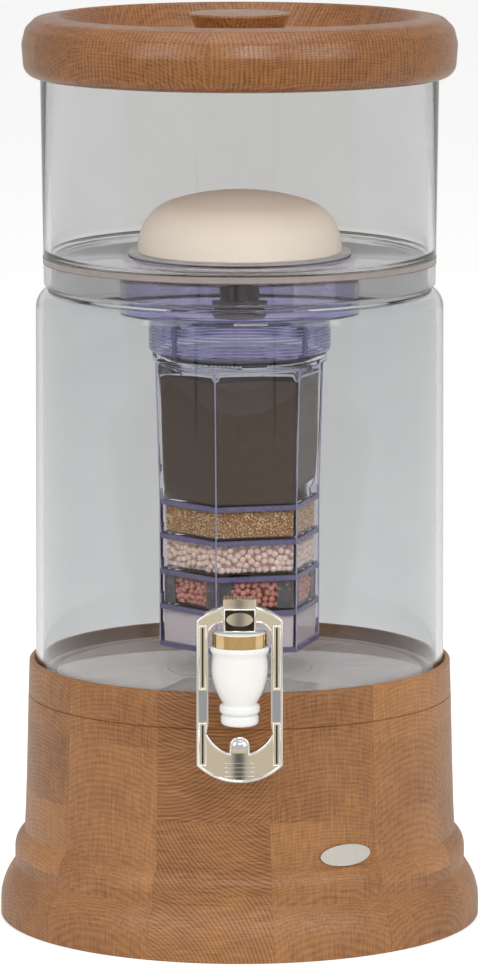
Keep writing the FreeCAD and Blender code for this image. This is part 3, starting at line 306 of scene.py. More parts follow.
@dataclass(frozen=True)
class OiledWood:
    """Oiled beech glued up from staves or boards: growth rings, pores and glue lines."""

    title: str
    grain: Grain
    dark: str = "#6C4121"
    light: str = "#AE7A48"
    joints_mm: tuple[float, ...] = ()
    staves: int = 12
    phase_deg: float = 22.0
    board_mm: float = 48.0
    ring_mm: float = 2.3
    ray_mm: float = 1.5
    line_mm: float = 2.6
    roughness: float = 0.42
    front_ends: float = 1.0
    upright: float = 0.0
    tone: float = 0.13

    def build(self) -> bpy.types.Material:
        """Make the material.

        Returns:
            The node material.
        """
        material, tree, shader = blank(self.title)
        where = add(tree, "ShaderNodeTexCoord").outputs["Object"]
        number, layer, seam = self.glue_up(tree, where)
        local = where
        if self.grain is Grain.STAVES:
            centre = math.radians(self.phase_deg) - (number + 0.5) * math.radians(360 / self.staves)
            local = add(tree, "ShaderNodeVectorRotate", {"rotation_type": "Z_AXIS"},
                        {"Vector": where, "Angle": centre}).outputs[0]
        key = add(tree, "ShaderNodeCombineXYZ", {}, {0: number, 1: layer}).outputs[0]
        chance = add(tree, "ShaderNodeTexWhiteNoise", {}, {"Vector": key}).outputs
        moved = self.cut_from_log(tree, local, layer, chance["Color"])
        figure = self.figure(tree, number, local, moved)
        cloud = noise(tree, moved, (14.0, 14.0, 14.0), 3.0)
        shade = figure + (cloud - 0.5) * 0.45 + (Signal(chance["Value"]) - 0.5) * self.tone
        wood = two_tone(tree, shade, (0.28, 0.86), (self.dark, self.light))
        toned = add(tree, "ShaderNodeMix", {"data_type": "RGBA", "blend_type": "MULTIPLY", 0: 1.0},
                    {6: wood, 7: seam * 0.16 + 0.84})
        bump = add(tree, "ShaderNodeBump", {"Distance": 0.08 * MM, "Strength": 0.6}, {"Height": figure})
        gloss = add(tree, "ShaderNodeMapRange",
                    {"To Min": self.roughness + 0.08, "To Max": self.roughness - 0.06}, {"Value": figure})
        feed(shader, {"Base Color": toned.outputs[2], "Normal": bump.outputs["Normal"],
                      "Roughness": gloss.outputs["Result"], "IOR": 1.47})
        return material

    def glue_up(self, tree: bpy.types.NodeTree, where: bpy.types.NodeSocket) -> tuple[Signal, Signal, Signal]:
        """Number the staves and layers, and find the glue lines.

        Args:
            tree: The material's tree.
            where: Place on the piece.

        Returns:
            The stave's number, the layer's number, and 0 on a glue line and 1 beside it.
        """
        x, y, z = (Signal(axis) for axis in add(tree, "ShaderNodeSeparateXYZ", {}, {0: where}).outputs)
        if self.grain is Grain.STAVES:
            around = x.step("ARCTAN2", y * -1.0)
            turns = (around + math.radians(self.phase_deg)) / math.radians(360 / self.staves)
        else:
            turns = (x + 0.35) / (self.board_mm * MM)
        layer = Signal(add(tree, "ShaderNodeValue").outputs[0])
        layer.socket.default_value = 0.0
        seam = (turns.step("FRACT") - 0.5).step("ABSOLUTE").step("LESS_THAN", 0.497)
        for height in self.joints_mm:
            layer = layer + z.step("GREATER_THAN", height * MM)
            seam = seam * (z - height * MM).step("ABSOLUTE").step("GREATER_THAN", 0.15 * MM)
        return turns.step("FLOOR"), layer, seam

    def cut_from_log(self, tree: bpy.types.NodeTree, local: bpy.types.NodeSocket, layer: Signal,
                     chance: bpy.types.NodeSocket) -> bpy.types.NodeSocket:
        """Give each stave its own place beside the heart of its log.

        Args:
            tree: The material's tree.
            local: Place on the stave.
            layer: The layer's number.
            chance: Three random numbers for each stave.

        Returns:
            Place in the log.
        """
        lots = add(tree, "ShaderNodeSeparateXYZ", {}, {0: chance}).outputs
        aside = layer.step("MULTIPLY_ADD", 2.5, 0.4).step("COSINE") * 0.055
        above = Signal(lots["Z"]).step("GREATER_THAN", 0.5).step("MULTIPLY_ADD", 2.0, -1.0)
        away = above * Signal(lots["Y"]).step("MULTIPLY_ADD", 0.04, 0.036)
        height = layer.step("MULTIPLY_ADD", -0.0425, -0.021) + away
        spread = add(tree, "ShaderNodeCombineXYZ", {}, {0: aside, 1: lots["Y"], 2: height}).outputs[0]
        return add(tree, "ShaderNodeVectorMath", {"operation": "ADD"}, {0: local, 1: spread}).outputs[0]

    def figure(self, tree: bpy.types.NodeTree, number: Signal, local: bpy.types.NodeSocket,
               moved: bpy.types.NodeSocket) -> Signal:
        """Draw end grain on the front stave and hatched long grain on the others.

        Args:
            tree: The material's tree.
            number: The stave's number.
            local: Place on the stave.
            moved: Place in the log.

        Returns:
            How light the figure is.
        """
        sway = {"wave_type": "RINGS", "Distortion": 3.0, "Detail": 2.0, "Detail Scale": 0.35}
        ends = wave(tree, moved, self.ring_mm, {**sway, "rings_direction": "Y"})
        far = add(tree, "ShaderNodeMapping", {"Location": (0.0, 0.45, 0.30)}, {"Vector": moved}).outputs[0]
        length = wave(tree, far, self.ray_mm, {**sway, "rings_direction": "X"})
        lines = wave(tree, local, self.line_mm, {"bands_direction": "X", "Distortion": 4.0,
                                                      "Detail": 3.0, "Detail Scale": 0.25})
        rays = noise(tree, local, (1100.0, 1100.0, 70.0), 2.0)
        dashes = noise(tree, local, (90.0, 90.0, 1300.0), 3.0)
        hatch = length * 0.13 + rays * 0.62 + dashes * 0.45 + (lines - 0.5) * self.upright
        rings = ends * 0.27 + dashes * 0.82
        is_end = number.step("COMPARE", 0.0, 0.5) * (self.front_ends if self.grain is Grain.STAVES else 0.0)
        return rings * is_end + hatch * (1.0 - is_end)


WOODS = (
    # Front staves show end grain in arcs, the others a fine hatch
    OiledWood("oiled_beech_staves", Grain.STAVES, joints_mm=(39.5, 82.0, 125.5)),
    # Darker, evenly hatched wood of the turned ring and knob
    OiledWood("oiled_beech_lid", Grain.STAVES, dark="#5C3418", light="#A26D3E", phase_deg=8.0,
              front_ends=0.0, upright=0.2, tone=0.05, staves=6, roughness=0.3),
    # Pale straight-grained panel of the lid
    OiledWood("oiled_beech_board", Grain.BOARD, dark="#8C5F3A", light="#B98C5E"),
)
CLEAR = (
    # Cast acrylic: a light grey that adds up over the walls
    Finish("clear_acrylic", "#D6D7D8", "#D8D9DA", 0.0, 40.0, 0.0, ior=1.36, transmission=1.0),
    Finish("clear_acrylic_top", "#DEDEDE", "#E0E0E0", 0.0, 40.0, 0.0, ior=1.36, transmission=1.0),
    # Pale, half-clear floor disc: its paleness is painted light that brightens the tank's floor
    Finish("acrylic_painted_light", "#F4EFEC", "#F6F2F0", 0.0, 40.0, 0.0, ior=1.3, transmission=0.6),
    # Sawn, unpolished edge of the acrylic floor disc
    Finish("frosted_acrylic", "#BDB5B3", "#C6BEBC", 0.3, 3.0, 0.01, transmission=0.6, lamp_tint="#F6F6F6"),
    # Moulded polycarbonate of the dome's plate
    Finish("clear_moulding", "#DDD8DC", "#E4E0E3", 0.15, 8.0, 0.0, ior=1.3, transmission=0.45),
    # Blue-tinted polycarbonate of the bowl and collar: clear, darker where it is thick
    Finish("blue_polycarbonate", "#DFDBFB", "#E7E4FD", 0.03, 6.0, 0.0, ior=1.3, transmission=1.0),
    Finish("blue_edge", "#7F7AA8", "#8D89B6", 0.15, 3.0, 0.0, ior=1.4, transmission=0.45),
    Finish("lilac_edge", "#C3BFE4", "#CDCAEC", 0.15, 3.0, 0.0, ior=1.4, transmission=0.45),
    # Styrene cartridge shell: clear with a lilac cast
    Finish("lilac_styrene", "#F3F2F8", "#F5F4F9", 0.0, 8.0, 0.0, ior=1.12, transmission=1.0),
    # Thick styrene corners between the pockets: dark, barely clear
    Finish("smoky_styrene", "#5C5A5C", "#6E6C70", 0.3, 4.0, 0.0, transmission=0.2),
)
SOLID = (
    # Thin brownish line of cement above and below the floor's edge
    Finish("glue_seam", "#7C6459", "#8A7469", 0.5, 3.0, 0.01),
    # Ply under the tank, near white: painted light and painted reflection of the white room, seen through the
    # floor
    Finish("pale_board_painted_light", "#F0E7E1", "#F6F0EB", 0.6, 3.0, 0.02, stretch=(0.1, 1.0, 1.0)),
    # Fired ceramic: matt, cream, fine pores
    Finish("fired_ceramic", "#F6E7D6", "#FBF0E2", 0.75, 0.8, 0.03),
    # Soft seals and the dull nut under the floor
    Finish("silicone_rubber", "#D5D5D2", "#DCDCDA", 0.5, 1.0),
    Finish("grey_nylon", "#6E605A", "#7A6C66", 0.45, 1.5),
    # Activated carbon: dark, dusty grains
    Finish("activated_carbon", "#4A3D33", "#564A3E", 0.95, 3.0, 0.02),
    # Media of the stages, each with a darker heart of painted shade in the gaps between its grains
    Finish("zeolite_granules", "#B98450", "#FBE2B2", 0.8, 2.6, 0.1),
    Finish("zeolite_gap_shade", "#9A7048", "#B48A60", 0.9, 1.2, 0.2),
    Finish("ceramic_balls", "#FCDCC6", "#FFF0E0", 0.55, 5.0, 0.02),
    Finish("ball_gap_shade", "#BFA093", "#CCB0A4", 0.9, 1.5, 0.1),
    Finish("red_ceramic_balls", "#CE8470", "#E6A996", 0.55, 5.0, 0.02),
    Finish("red_gap_shade", "#7C4033", "#8E5042", 0.9, 1.5, 0.1),
    Finish("mineral_sand", "#DCD0CC", "#E8DEDB", 0.9, 0.8, 0.1),
    # Glossy white acetal of the tap
    Finish("white_acetal", "#ECECEA", "#EFEFED", 0.18, 20.0, 0.01, coat=0.2),
)
METAL = (
    # Bright chromium plate on a die casting, with painted dark reflection and shade in its sunk parts, and
    # dull on its pads
    Finish("chromium_plate", "#EAE8E4", "#EEECE9", 0.04, 30.0, 0.0, metallic=1.0),
    Finish("chromium_painted_dark", "#3C3B34", "#4A4940", 0.12, 6.0, 0.0, metallic=1.0),
    Finish("satin_chromium", "#A4A8B0", "#AAADB4", 0.42, 1.0, 0.0, metallic=1.0),
    # Pale gold ring round the top of the tap
    Finish("gold_plate", "#D9BC88", "#E2C795", 0.10, 6.0, 0.0, metallic=1.0),
    # Screw, pin and spring
    Finish("stainless_steel", "#B9B9B8", "#C4C4C3", 0.3, 0.5, metallic=1.0),
    # Bare badge with a fine brushed line
    Finish("brushed_pewter", "#C4C0B8", "#D6D3CC", 0.36, 0.35, 0.03, metallic=1.0, stretch=(0.1, 1.0, 1.0)),
)


def rounded(corners: list[Corner], steps: int = 8) -> list[Point]:
    """Turn corners with radii into an outline.

    Args:
        corners: Across, up and rounding radius of each corner.
        steps: Points on each rounding.

    Returns:
        The outline's points.
    """
    points: list[Point] = []
    count = len(corners)
    for i, (x, z, radius) in enumerate(corners):
        here = Vector((x, z))
        if radius <= 0:
            points.append((x, z))
            continue
        back = (Vector(corners[i - 1][:2]) - here).normalized()
        ahead = (Vector(corners[(i + 1) % count][:2]) - here).normalized()
        half = math.acos(max(-1.0, min(1.0, back.dot(ahead)))) / 2
        centre = here + (back + ahead).normalized() * (radius / math.sin(half))
        start = here + back * (radius / math.tan(half)) - centre
        end = here + ahead * (radius / math.tan(half)) - centre
        sweep = start.angle_signed(end)
        for k in range(steps + 1):
            turned = Matrix.Rotation(-sweep * k / steps, 2) @ start
            points.append((centre.x + turned.x, centre.y + turned.y))
    return points


def arc(start: Point, end: Point, radius: float, steps: int = 10, left: bool = True) -> list[Corner]:
    """Corners along an arc between two points.

    Args:
        start: Where the arc starts.
        end: Where it ends.
        radius: Its radius.
        steps: Number of pieces.
        left: Whether the centre lies to the left of the way from start to end.

    Returns:
        The corners, without roundings, ends included.
    """
    a, b = Vector(start), Vector(end)
    chord = b - a
    side = Vector((-chord.y, chord.x)).normalized() * (1 if left else -1)
    centre = (a + b) / 2 + side * math.sqrt(max(radius ** 2 - (chord.length / 2) ** 2, 0.0))
    sweep = (a - centre).angle_signed(b - centre)
    turns = [Matrix.Rotation(-sweep * k / steps, 2) for k in range(steps + 1)]
    return [(*(centre + turn @ (a - centre)), 0.0) for turn in turns]


def tidy(mesh: bpy.types.Mesh, sharp_deg: float = 35.0) -> bpy.types.Mesh:
    """Merge doubles, point faces outwards and shade smooth but for sharp edges.

    Args:
        mesh: The mesh, which is changed.
        sharp_deg: Angle past which an edge stays sharp.

    Returns:
        The same mesh.
    """
    work = bmesh.new()
    work.from_mesh(mesh)
    bmesh.ops.remove_doubles(work, verts=work.verts, dist=1e-6)
    bmesh.ops.dissolve_degenerate(work, edges=work.edges, dist=1e-7)
    bmesh.ops.recalc_face_normals(work, faces=work.faces)
    work.to_mesh(mesh)
    work.free()
    mesh.shade_smooth()
    mesh.set_sharp_from_angle(angle=math.radians(sharp_deg))
    return mesh


def raw_mesh(name: str, verts: list[Corner], faces: list[tuple[int, ...]],
             unit: float = MM) -> bpy.types.Mesh:
    """Make a mesh from corners and faces.

    Args:
        name: Its name.
        verts: Its corners.
        faces: Corner numbers of each face.
        unit: What one of the corners' units measures in metres.

    Returns:
        The mesh.
    """
    mesh = bpy.data.meshes.new(name)
    mesh.from_pydata([(x * unit, y * unit, z * unit) for x, y, z in verts], [], faces)
    return mesh


def new_object(name: str, mesh: bpy.types.Mesh, material: bpy.types.Material | None) -> bpy.types.Object:
    """Put a mesh in the scene.

    Args:
        name: Name of the piece.
        mesh: Its mesh.
        material: Its material, or none where the mesh has its own.

    Returns:
        The new piece.
    """
    piece = bpy.data.objects.new(name, mesh)
    bpy.context.scene.collection.objects.link(piece)
    if material:
        mesh.materials.clear()
        mesh.materials.append(material)
    return piece


def lathe(name: str, outline: list[Point], material: bpy.types.Material, segments: int = 128,
          at: Point = (0.0, 0.0)) -> bpy.types.Object:
    """Turn a closed outline round an upright axis.

    Args:
        name: Name of the piece.
        outline: Closed outline of radius and height.
        material: Its material.
        segments: Faces round the axis.
        at: Where the axis stands.

    Returns:
        The new piece.
    """
    count = len(outline)
    ways = [(math.cos(TURN * k / segments), math.sin(TURN * k / segments)) for k in range(segments)]
    verts = [(at[0] + r * across, at[1] + r * ahead, z) for across, ahead in ways for r, z in outline]
    faces = []
    for k in range(segments):
        here, there = k * count, (k + 1) % segments * count
        for i in range(count):
            j = (i + 1) % count
            faces.append((here + i, there + i, there + j, here + j))
    return new_object(name, tidy(raw_mesh(name, verts, faces)), material)


def hexagonal(radius: float, turn_deg: float) -> list[Point]:
    """Corners of the cartridge's hexagon.

    Args:
        radius: Distance of the corners from the axis.
        turn_deg: Way to the first corner.

    Returns:
        The six corners in order.
    """
    ways = [math.radians(turn_deg + 60 * k) for k in range(6)]
    return [(radius * math.cos(way), radius * math.sin(way)) for way in ways]


def hex_prism(name: str, low: Point, high: Point, turn_deg: float, cuts: int = 0) -> bpy.types.Mesh:
    """A six-sided prism.

    Args:
        name: Name of the mesh.
        low: Corner radius and height at the bottom.
        high: Corner radius and height at the top.
        turn_deg: Turn of the hexagon.
        cuts: Subdivisions of every edge.

    Returns:
        The mesh.
    """
    verts = [(x, y, z) for r, z in (low, high) for x, y in hexagonal(r, turn_deg)]
    sides = [(k, (k + 1) % 6, 6 + (k + 1) % 6, 6 + k) for k in range(6)]
    mesh = raw_mesh(name, verts, [tuple(range(5, -1, -1)), tuple(range(6, 12)), *sides])
    if cuts:
        work = bmesh.new()
        work.from_mesh(mesh)
        bmesh.ops.triangulate(work, faces=[f for f in work.faces if len(f.verts) == 6])
        bmesh.ops.subdivide_edges(work, edges=work.edges, cuts=cuts, use_grid_fill=True)
        work.to_mesh(mesh)
        work.free()
    return mesh


def open_tree(name: str, sizes: dict[str, str]) -> tuple[bpy.types.NodeTree, dict[str, bpy.types.NodeSocket]]:
    """Start a Geometry Nodes tree that repeats something.

    Args:
        name: Name of the tree.
        sizes: Socket kind of each of its own inputs, by name.

    Returns:
        The tree and its inputs by name.
    """
    tree = bpy.data.node_groups.new(name, "GeometryNodeTree")
    for title, kind in {"Geometry": "Geometry", **sizes, "Finish": "Material"}.items():
        tree.interface.new_socket(title, in_out="INPUT", socket_type=f"NodeSocket{kind}")
    tree.interface.new_socket("Geometry", in_out="OUTPUT", socket_type="NodeSocketGeometry")
    given = add(tree, "NodeGroupInput").outputs
    return tree, {socket.name: socket for socket in given if socket.name}


def close_tree(tree: bpy.types.NodeTree, copies: bpy.types.Node, finish: bpy.types.NodeSocket) -> None:
    """End a tree: make its copies real and give them their finish.

    Args:
        tree: The tree.
        copies: The node that makes the copies.
        finish: The input that holds their finish.
    """
    real = add(tree, "GeometryNodeRealizeInstances", {}, {0: copies.outputs[0]})
    done = add(tree, "GeometryNodeSetMaterial", {}, {"Geometry": real.outputs[0], "Material": finish})
    add(tree, "NodeGroupOutput", {}, {0: done.outputs[0]})


def scatter_tree(name: str, seed: int) -> bpy.types.NodeTree:
    """Geometry Nodes that pack grains on a surface.

    Args:
        name: Name of the tree.
        seed: Seed of the packing.

    Returns:
        The tree, with inputs for spacing, grain size, stretch and finish.
    """
    tree, given = open_tree(name, {"Spacing": "Float", "Grain Radius": "Float", "Stretch": "Float"})
    spots = add(tree, "GeometryNodeDistributePointsOnFaces",
                {"distribute_method": "POISSON", "Density Max": 3.0e6, "Seed": seed},
                {"Mesh": given["Geometry"], "Distance Min": given["Spacing"]})
    grain = add(tree, "GeometryNodeMeshIcoSphere", {"Subdivisions": 2}, {"Radius": given["Grain Radius"]})
    soft = add(tree, "GeometryNodeSetShadeSmooth", {}, {"Geometry": grain.outputs["Mesh"]})
    size = add(tree, "FunctionNodeRandomValue", {"data_type": "FLOAT_VECTOR", "Seed": seed + 1})
    least = add(tree, "ShaderNodeCombineXYZ", {}, {axis: given["Stretch"] for axis in range(3)})
    feed(size, {"Min": least.outputs[0], "Max": (1.04, 1.04, 1.04)})
    spin = add(tree, "FunctionNodeRandomValue", {"data_type": "FLOAT_VECTOR", "Seed": seed + 2})
    feed(spin, {"Max": (TURN, TURN, TURN)})
    grains = add(tree, "GeometryNodeInstanceOnPoints", {},
                 {"Points": spots.outputs["Points"], "Instance": soft.outputs[0], "Scale": size.outputs[0],
                  "Rotation": spin.outputs[0]})
    close_tree(tree, grains, given["Finish"])
    return tree


def row_tree(name: str) -> bpy.types.NodeTree:
    """Geometry Nodes that repeat a mesh along a line.

    Args:
        name: Name of the tree.

    Returns:
        The tree, with inputs for count, step and finish.
    """
    tree, given = open_tree(name, {"Count": "Int", "Step": "Vector"})
    line = add(tree, "GeometryNodeMeshLine", {"mode": "OFFSET"},
               {"Count": given["Count"], "Offset": given["Step"]})
    copies = add(tree, "GeometryNodeInstanceOnPoints", {},
                 {"Points": line.outputs[0], "Instance": given["Geometry"]})
    close_tree(tree, copies, given["Finish"])
    return tree


def run_tree(source: bpy.types.Object, tree: bpy.types.NodeTree,
             values: dict[str, object]) -> bpy.types.Object:
    """Run a Geometry Nodes tree on a piece and keep the result as a plain mesh.

    Args:
        source: The piece that feeds the tree; it is replaced by the result.
        tree: The tree.
        values: Input values by socket name.

    Returns:
        A new piece under the source's name.
    """
    modifier = source.modifiers.new("repeat", "NODES")
    modifier.node_group = tree
    for item in tree.interface.items_tree:
        if item.in_out == "INPUT" and item.name in values:
            modifier[item.identifier] = values[item.name]
    bpy.context.view_layer.update()
    ready = source.evaluated_get(bpy.context.evaluated_depsgraph_get())
    mesh = bpy.data.meshes.new_from_object(ready)
    source.modifiers.clear()
    name = source.name
    bpy.data.objects.remove(source)
    return new_object(name, mesh, None)


def box_mesh(name: str, low: Corner, high: Corner, bevel: float) -> bpy.types.Mesh:
    """A box with bevelled edges.

    Args:
        name: Name of the mesh.
        low: Its lowest corner.
        high: Its highest corner.
        bevel: Width of the bevels.

    Returns:
        The mesh.
    """
    work = bmesh.new()
    bmesh.ops.create_cube(work, size=1.0)
    size = [high[i] - low[i] for i in range(3)]
    middle = [(high[i] + low[i]) / 2 for i in range(3)]
    for vert in work.verts:
        vert.co = Vector([(middle[i] + vert.co[i] * size[i]) * MM for i in range(3)])
    bmesh.ops.bevel(work, geom=work.edges[:], offset=bevel * MM, segments=3, affect="EDGES")
    mesh = bpy.data.meshes.new(name)
    work.to_mesh(mesh)
    work.free()
    return tidy(mesh)


def bead(name: str, path: list[Corner], radius: float, material: bpy.types.Material,
         closed: bool = False) -> bpy.types.Object:
    """A round bead that follows a path.

    Args:
        name: Name of the piece.
        path: Its points.
        radius: Radius of the bead.
        material: Its material.
        closed: Whether the path closes.

    Returns:
        The bead as a mesh piece.
    """
    curve = bpy.data.curves.new(name, "CURVE")
    curve.dimensions = "3D"
    curve.bevel_depth = radius * MM
    curve.bevel_resolution = 3
    curve.use_fill_caps = True
    line = curve.splines.new("POLY")
    line.points.add(len(path) - 1)
    for point, (x, y, z) in zip(line.points, path):
        point.co = (x * MM, y * MM, z * MM, 1.0)
    line.use_cyclic_u = closed
    shape = bpy.data.objects.new(name, curve)
    bpy.context.scene.collection.objects.link(shape)
    bpy.context.view_layer.update()
    mesh = bpy.data.meshes.new_from_object(shape.evaluated_get(bpy.context.evaluated_depsgraph_get()))
    bpy.data.objects.remove(shape)
    return new_object(name, tidy(mesh, 60.0), material)


def place(piece: bpy.types.Object, body: str, slot: str, *nodes: str) -> bpy.types.Object:
    """Seat a finished piece on its body and report it.

    Args:
        piece: The piece.
        body: The body that it rides.
        slot: Its finish slot; not used.
        nodes: The nodes that it stands for.

    Returns:
        The same piece.
    """
    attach(piece, body)
    if nodes:
        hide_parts(*nodes)
    LOG.info("%s: %d faces", piece.name, len(piece.data.polygons))
    return piece


@dataclass
class Workshop:
    """Every finish, made once, and the frame's nodes."""

    nodes: dict[str, bpy.types.Object]
    finishes: dict[str, bpy.types.Material] = field(default_factory=dict)

    def stock(self) -> None:
        """Make the finishes."""
        self.finishes = {finish.title: finish.build() for finish in (*WOODS, *CLEAR, *SOLID, *METAL)}

    def dress(self, finish: str, *nodes: str) -> None:
        """Give carried-over nodes their finish.

        Args:
            finish: Name of the finish.
            nodes: Names of the nodes.
        """
        for node in nodes:
            mesh = self.nodes[node].data
            mesh.materials.clear()
            mesh.materials.append(self.finishes[finish])

    def polish(self, node: str, finish: str, body: str, slot: str,
               sharp_deg: float = 35.0) -> bpy.types.Object:
        """Replace a node by a merged, smoothly shaded copy of itself.

        Args:
            node: Name of the node.
            finish: Name of the finish.
            body: The body that it rides.
            slot: Its finish slot.
            sharp_deg: Angle past which an edge stays sharp.

        Returns:
            The copy.
        """
        mesh = tidy(self.nodes[node].data.copy(), sharp_deg)
        return self.keep(f"{node}_finished", mesh, finish, body, slot, node)

    def keep(self, name: str, mesh: bpy.types.Mesh, finish: str, body: str, slot: str,
             *nodes: str) -> bpy.types.Object:
        """Make a mesh a placed piece."""
        return place(new_object(name, mesh, self.finishes[finish]), body, slot, *nodes)

    def turn(self, name: str, outline: list[Point], finish: str, body: str, slot: str, *nodes: str,
             segments: int = 128, at: Point = (0.0, 0.0)) -> bpy.types.Object:
        """Turn an outline into a placed piece."""
        return place(lathe(name, outline, self.finishes[finish], segments, at), body, slot, *nodes)

    def bend(self, name: str, path: list[Corner], radius: float, finish: str, body: str, slot: str,
             closed: bool = False) -> bpy.types.Object:
        """Run a bead along a path as a placed piece."""
        return place(bead(name, path, radius, self.finishes[finish], closed), body, slot)

    def row(self, first: bpy.types.Object, count: int, step: Corner, finish: str, body: str,
            slot: str) -> bpy.types.Object:
        """Repeat a piece along a line and place the row.

        Args:
            first: The first of the row, which the row replaces.
            count: How many there are.
            step: Way from one to the next.
            finish: Name of the finish.
            body: The body that the row rides.
            slot: Its finish slot.

        Returns:
            The row as one piece.
        """
        values = {"Count": count, "Step": tuple(mm * MM for mm in step), "Finish": self.finishes[finish]}
        return place(run_tree(first, row_tree(f"{first.name}_rows"), values), body, slot)


@dataclass
class WoodenBase:
    """The turned base, its board and the bare badge."""

    shop: Workshop
    foot: float = 147.7
    bore: float = 118.0
    seat: float = 126.2
    ledge: float = 130.3
    scribe: float = 138.5
    rim: float = 160.5

    def build(self) -> None:
        """Build the drum with its mouldings and scribed line."""
        corners = [(self.bore, 0.0, 0.0), (self.foot, 0.0, 1.0)]
        corners += arc((self.foot, 9.0), (138.8, 32.6), 35.7, 14)
        corners += arc((138.8, 43.0), (132.9, 53.2), 12.9, 12)
        corners += [(132.1, 69.0, 0.0), (131.3, 94.0, 0.0), (130.15, self.scribe - 0.6, 0.2),
                    (129.4, self.scribe, 0.0), (130.1, self.scribe + 0.6, 0.2), (129.4, self.rim, 2.0),
                    (self.seat, self.rim, 1.0), (self.seat, self.ledge, 0.0), (self.bore, self.ledge, 0.0)]
        self.shop.turn("base_drum_turned", rounded(corners), "oiled_beech_staves", "base", "oiled_oak",
                       "base_drum", segments=192)
        # The board's near-white colour is painted light and painted reflection
        self.shop.dress("pale_board_painted_light", "base_board")
        self.shop.polish("badge_plate", "brushed_pewter", "base", "pewter")


@dataclass
class Tanks:
    """Both clear tanks."""

    shop: Workshop
    lower_foot: float = 148.3
    lower_floor: float = 153.0
    disc: float = 112.8
    lip: float = 391.0
    spigot: float = 386.0
    upper_under: float = 404.5
    upper_floor: float = 408.5
    upper_rim: float = 520.0
    drain: float = 6.4

    def build(self) -> None:
        """Build both tanks."""
        self.lower()
        self.upper()

    def lower(self) -> None:
        """Build the lower tank: a wall of even thickness, and a floor disc with a shallow dish."""
        outer = [(113.0, self.lower_foot, 0.2), (125.5, self.lower_foot, 8.0)]
        outer += arc((124.4, 377.5), (117.6, 388.6), 13.0, 12)
        outer += [(117.6, self.lip, 0.7), (115.2, self.lip, 0.7)]
        inner = arc((115.2, 385.7), (120.4, 377.5), 9.0, 10, left=False)
        floor = [(121.5, self.lower_floor, 6.0), (113.0, self.lower_floor, 0.2)]
        dish = self.lower_floor + 0.8
        disc = [(0.0, self.lower_foot, 0.0), (self.disc, self.lower_foot, 0.2),
                (self.disc, self.lower_floor, 0.2), (44.8, self.lower_floor, 0.3), (44.0, dish, 0.3),
                (0.0, dish, 0.0)]
        # The floor disc's pale finish is painted light
        self.shop.turn("lower_tank_floor", rounded(disc), "acrylic_painted_light", "lower", "clear_acrylic",
                       "lower_tank")
        self.shop.turn("lower_tank_wall", rounded(outer + inner + floor), "clear_acrylic", "lower",
                       "clear_acrylic", "lower_tank", segments=192)

    def upper(self) -> None:
        """Build the upper tank with its skirt, and the bands at the edge of its floor."""
        corners = [(self.drain, self.upper_floor, 0.0), (115.7, self.upper_floor, 5.0),
                   (117.2, self.upper_rim, 1.2), (121.2, self.upper_rim, 1.2), (119.5, self.lip, 1.2),
                   (115.9, self.lip, 0.6), (115.9, self.upper_under, 0.5), (114.4, self.upper_under, 0.3),
                   (114.4, self.spigot, 0.7), (111.8, self.spigot, 0.7), (111.8, self.upper_under, 1.0),
                   (self.drain, self.upper_under, 0.0)]
        self.shop.turn("upper_tank_wall", rounded(corners), "clear_acrylic_top", "upper", "clear_acrylic",
                       "upper_tank", segments=192)
        for name, low, high, finish in (("floor_edge", 404.9, 408.1, "frosted_acrylic"),
                                        ("floor_seam_low", 404.4, 404.9, "glue_seam"),
                                        ("floor_seam_high", 408.1, 408.6, "glue_seam")):
            band = [(119.75, low), (120.0, low), (120.0, high), (119.8, high)]
            self.shop.turn(name, band, finish, "upper", "clear_plate", segments=192)


@dataclass
class Lid:
    """The wooden lid: ring, inset panel and knob."""

    shop: Workshop
    bore: float = 92.0
    plug: float = 518.4
    rebate: float = 520.2
    underside: float = 517.6
    dish: float = 541.0
    crest: float = 555.2
    knob_top: float = 556.1

    def build(self) -> None:
        """Build the lid's pieces."""
        ring = [(self.bore, self.plug, 0.3), (116.2, self.plug, 0.3), (116.2, self.rebate, 0.0),
                (122.4, self.rebate, 0.0), (122.4, self.underside, 0.6), (131.0, self.underside, 8.5),
                (132.5, 538.0, 12.0), (130.2, 547.2, 6.0), (124.2, 553.2, 6.0), (110.5, self.crest, 3.5),
                (102.6, 544.0, 5.0), (100.3, self.dish, 0.0), (100.3, 529.0, 0.0), (self.bore, 529.0, 0.5)]
        self.shop.turn("lid_ring_turned", rounded(ring, 10), "oiled_beech_lid", "lid", "oiled_oak",
                       "lid_ring", segments=192)
        self.shop.polish("lid_panel", "oiled_beech_board", "lid", "oiled_oak")
        foot = self.dish + 0.05
        knob = [(0.0, foot, 0.0), (25.6, foot, 0.4), (26.6, 546.0, 1.0), (30.4, 555.0, 0.6),
                (29.6, self.knob_top, 0.6), (0.0, self.knob_top, 0.0)]
        self.shop.turn("lid_knob_turned", rounded(knob), "oiled_beech_lid", "lid", "oiled_oak", "lid_knob",
                       segments=96)
        self.shop.dress("stainless_steel", "lid_screw")


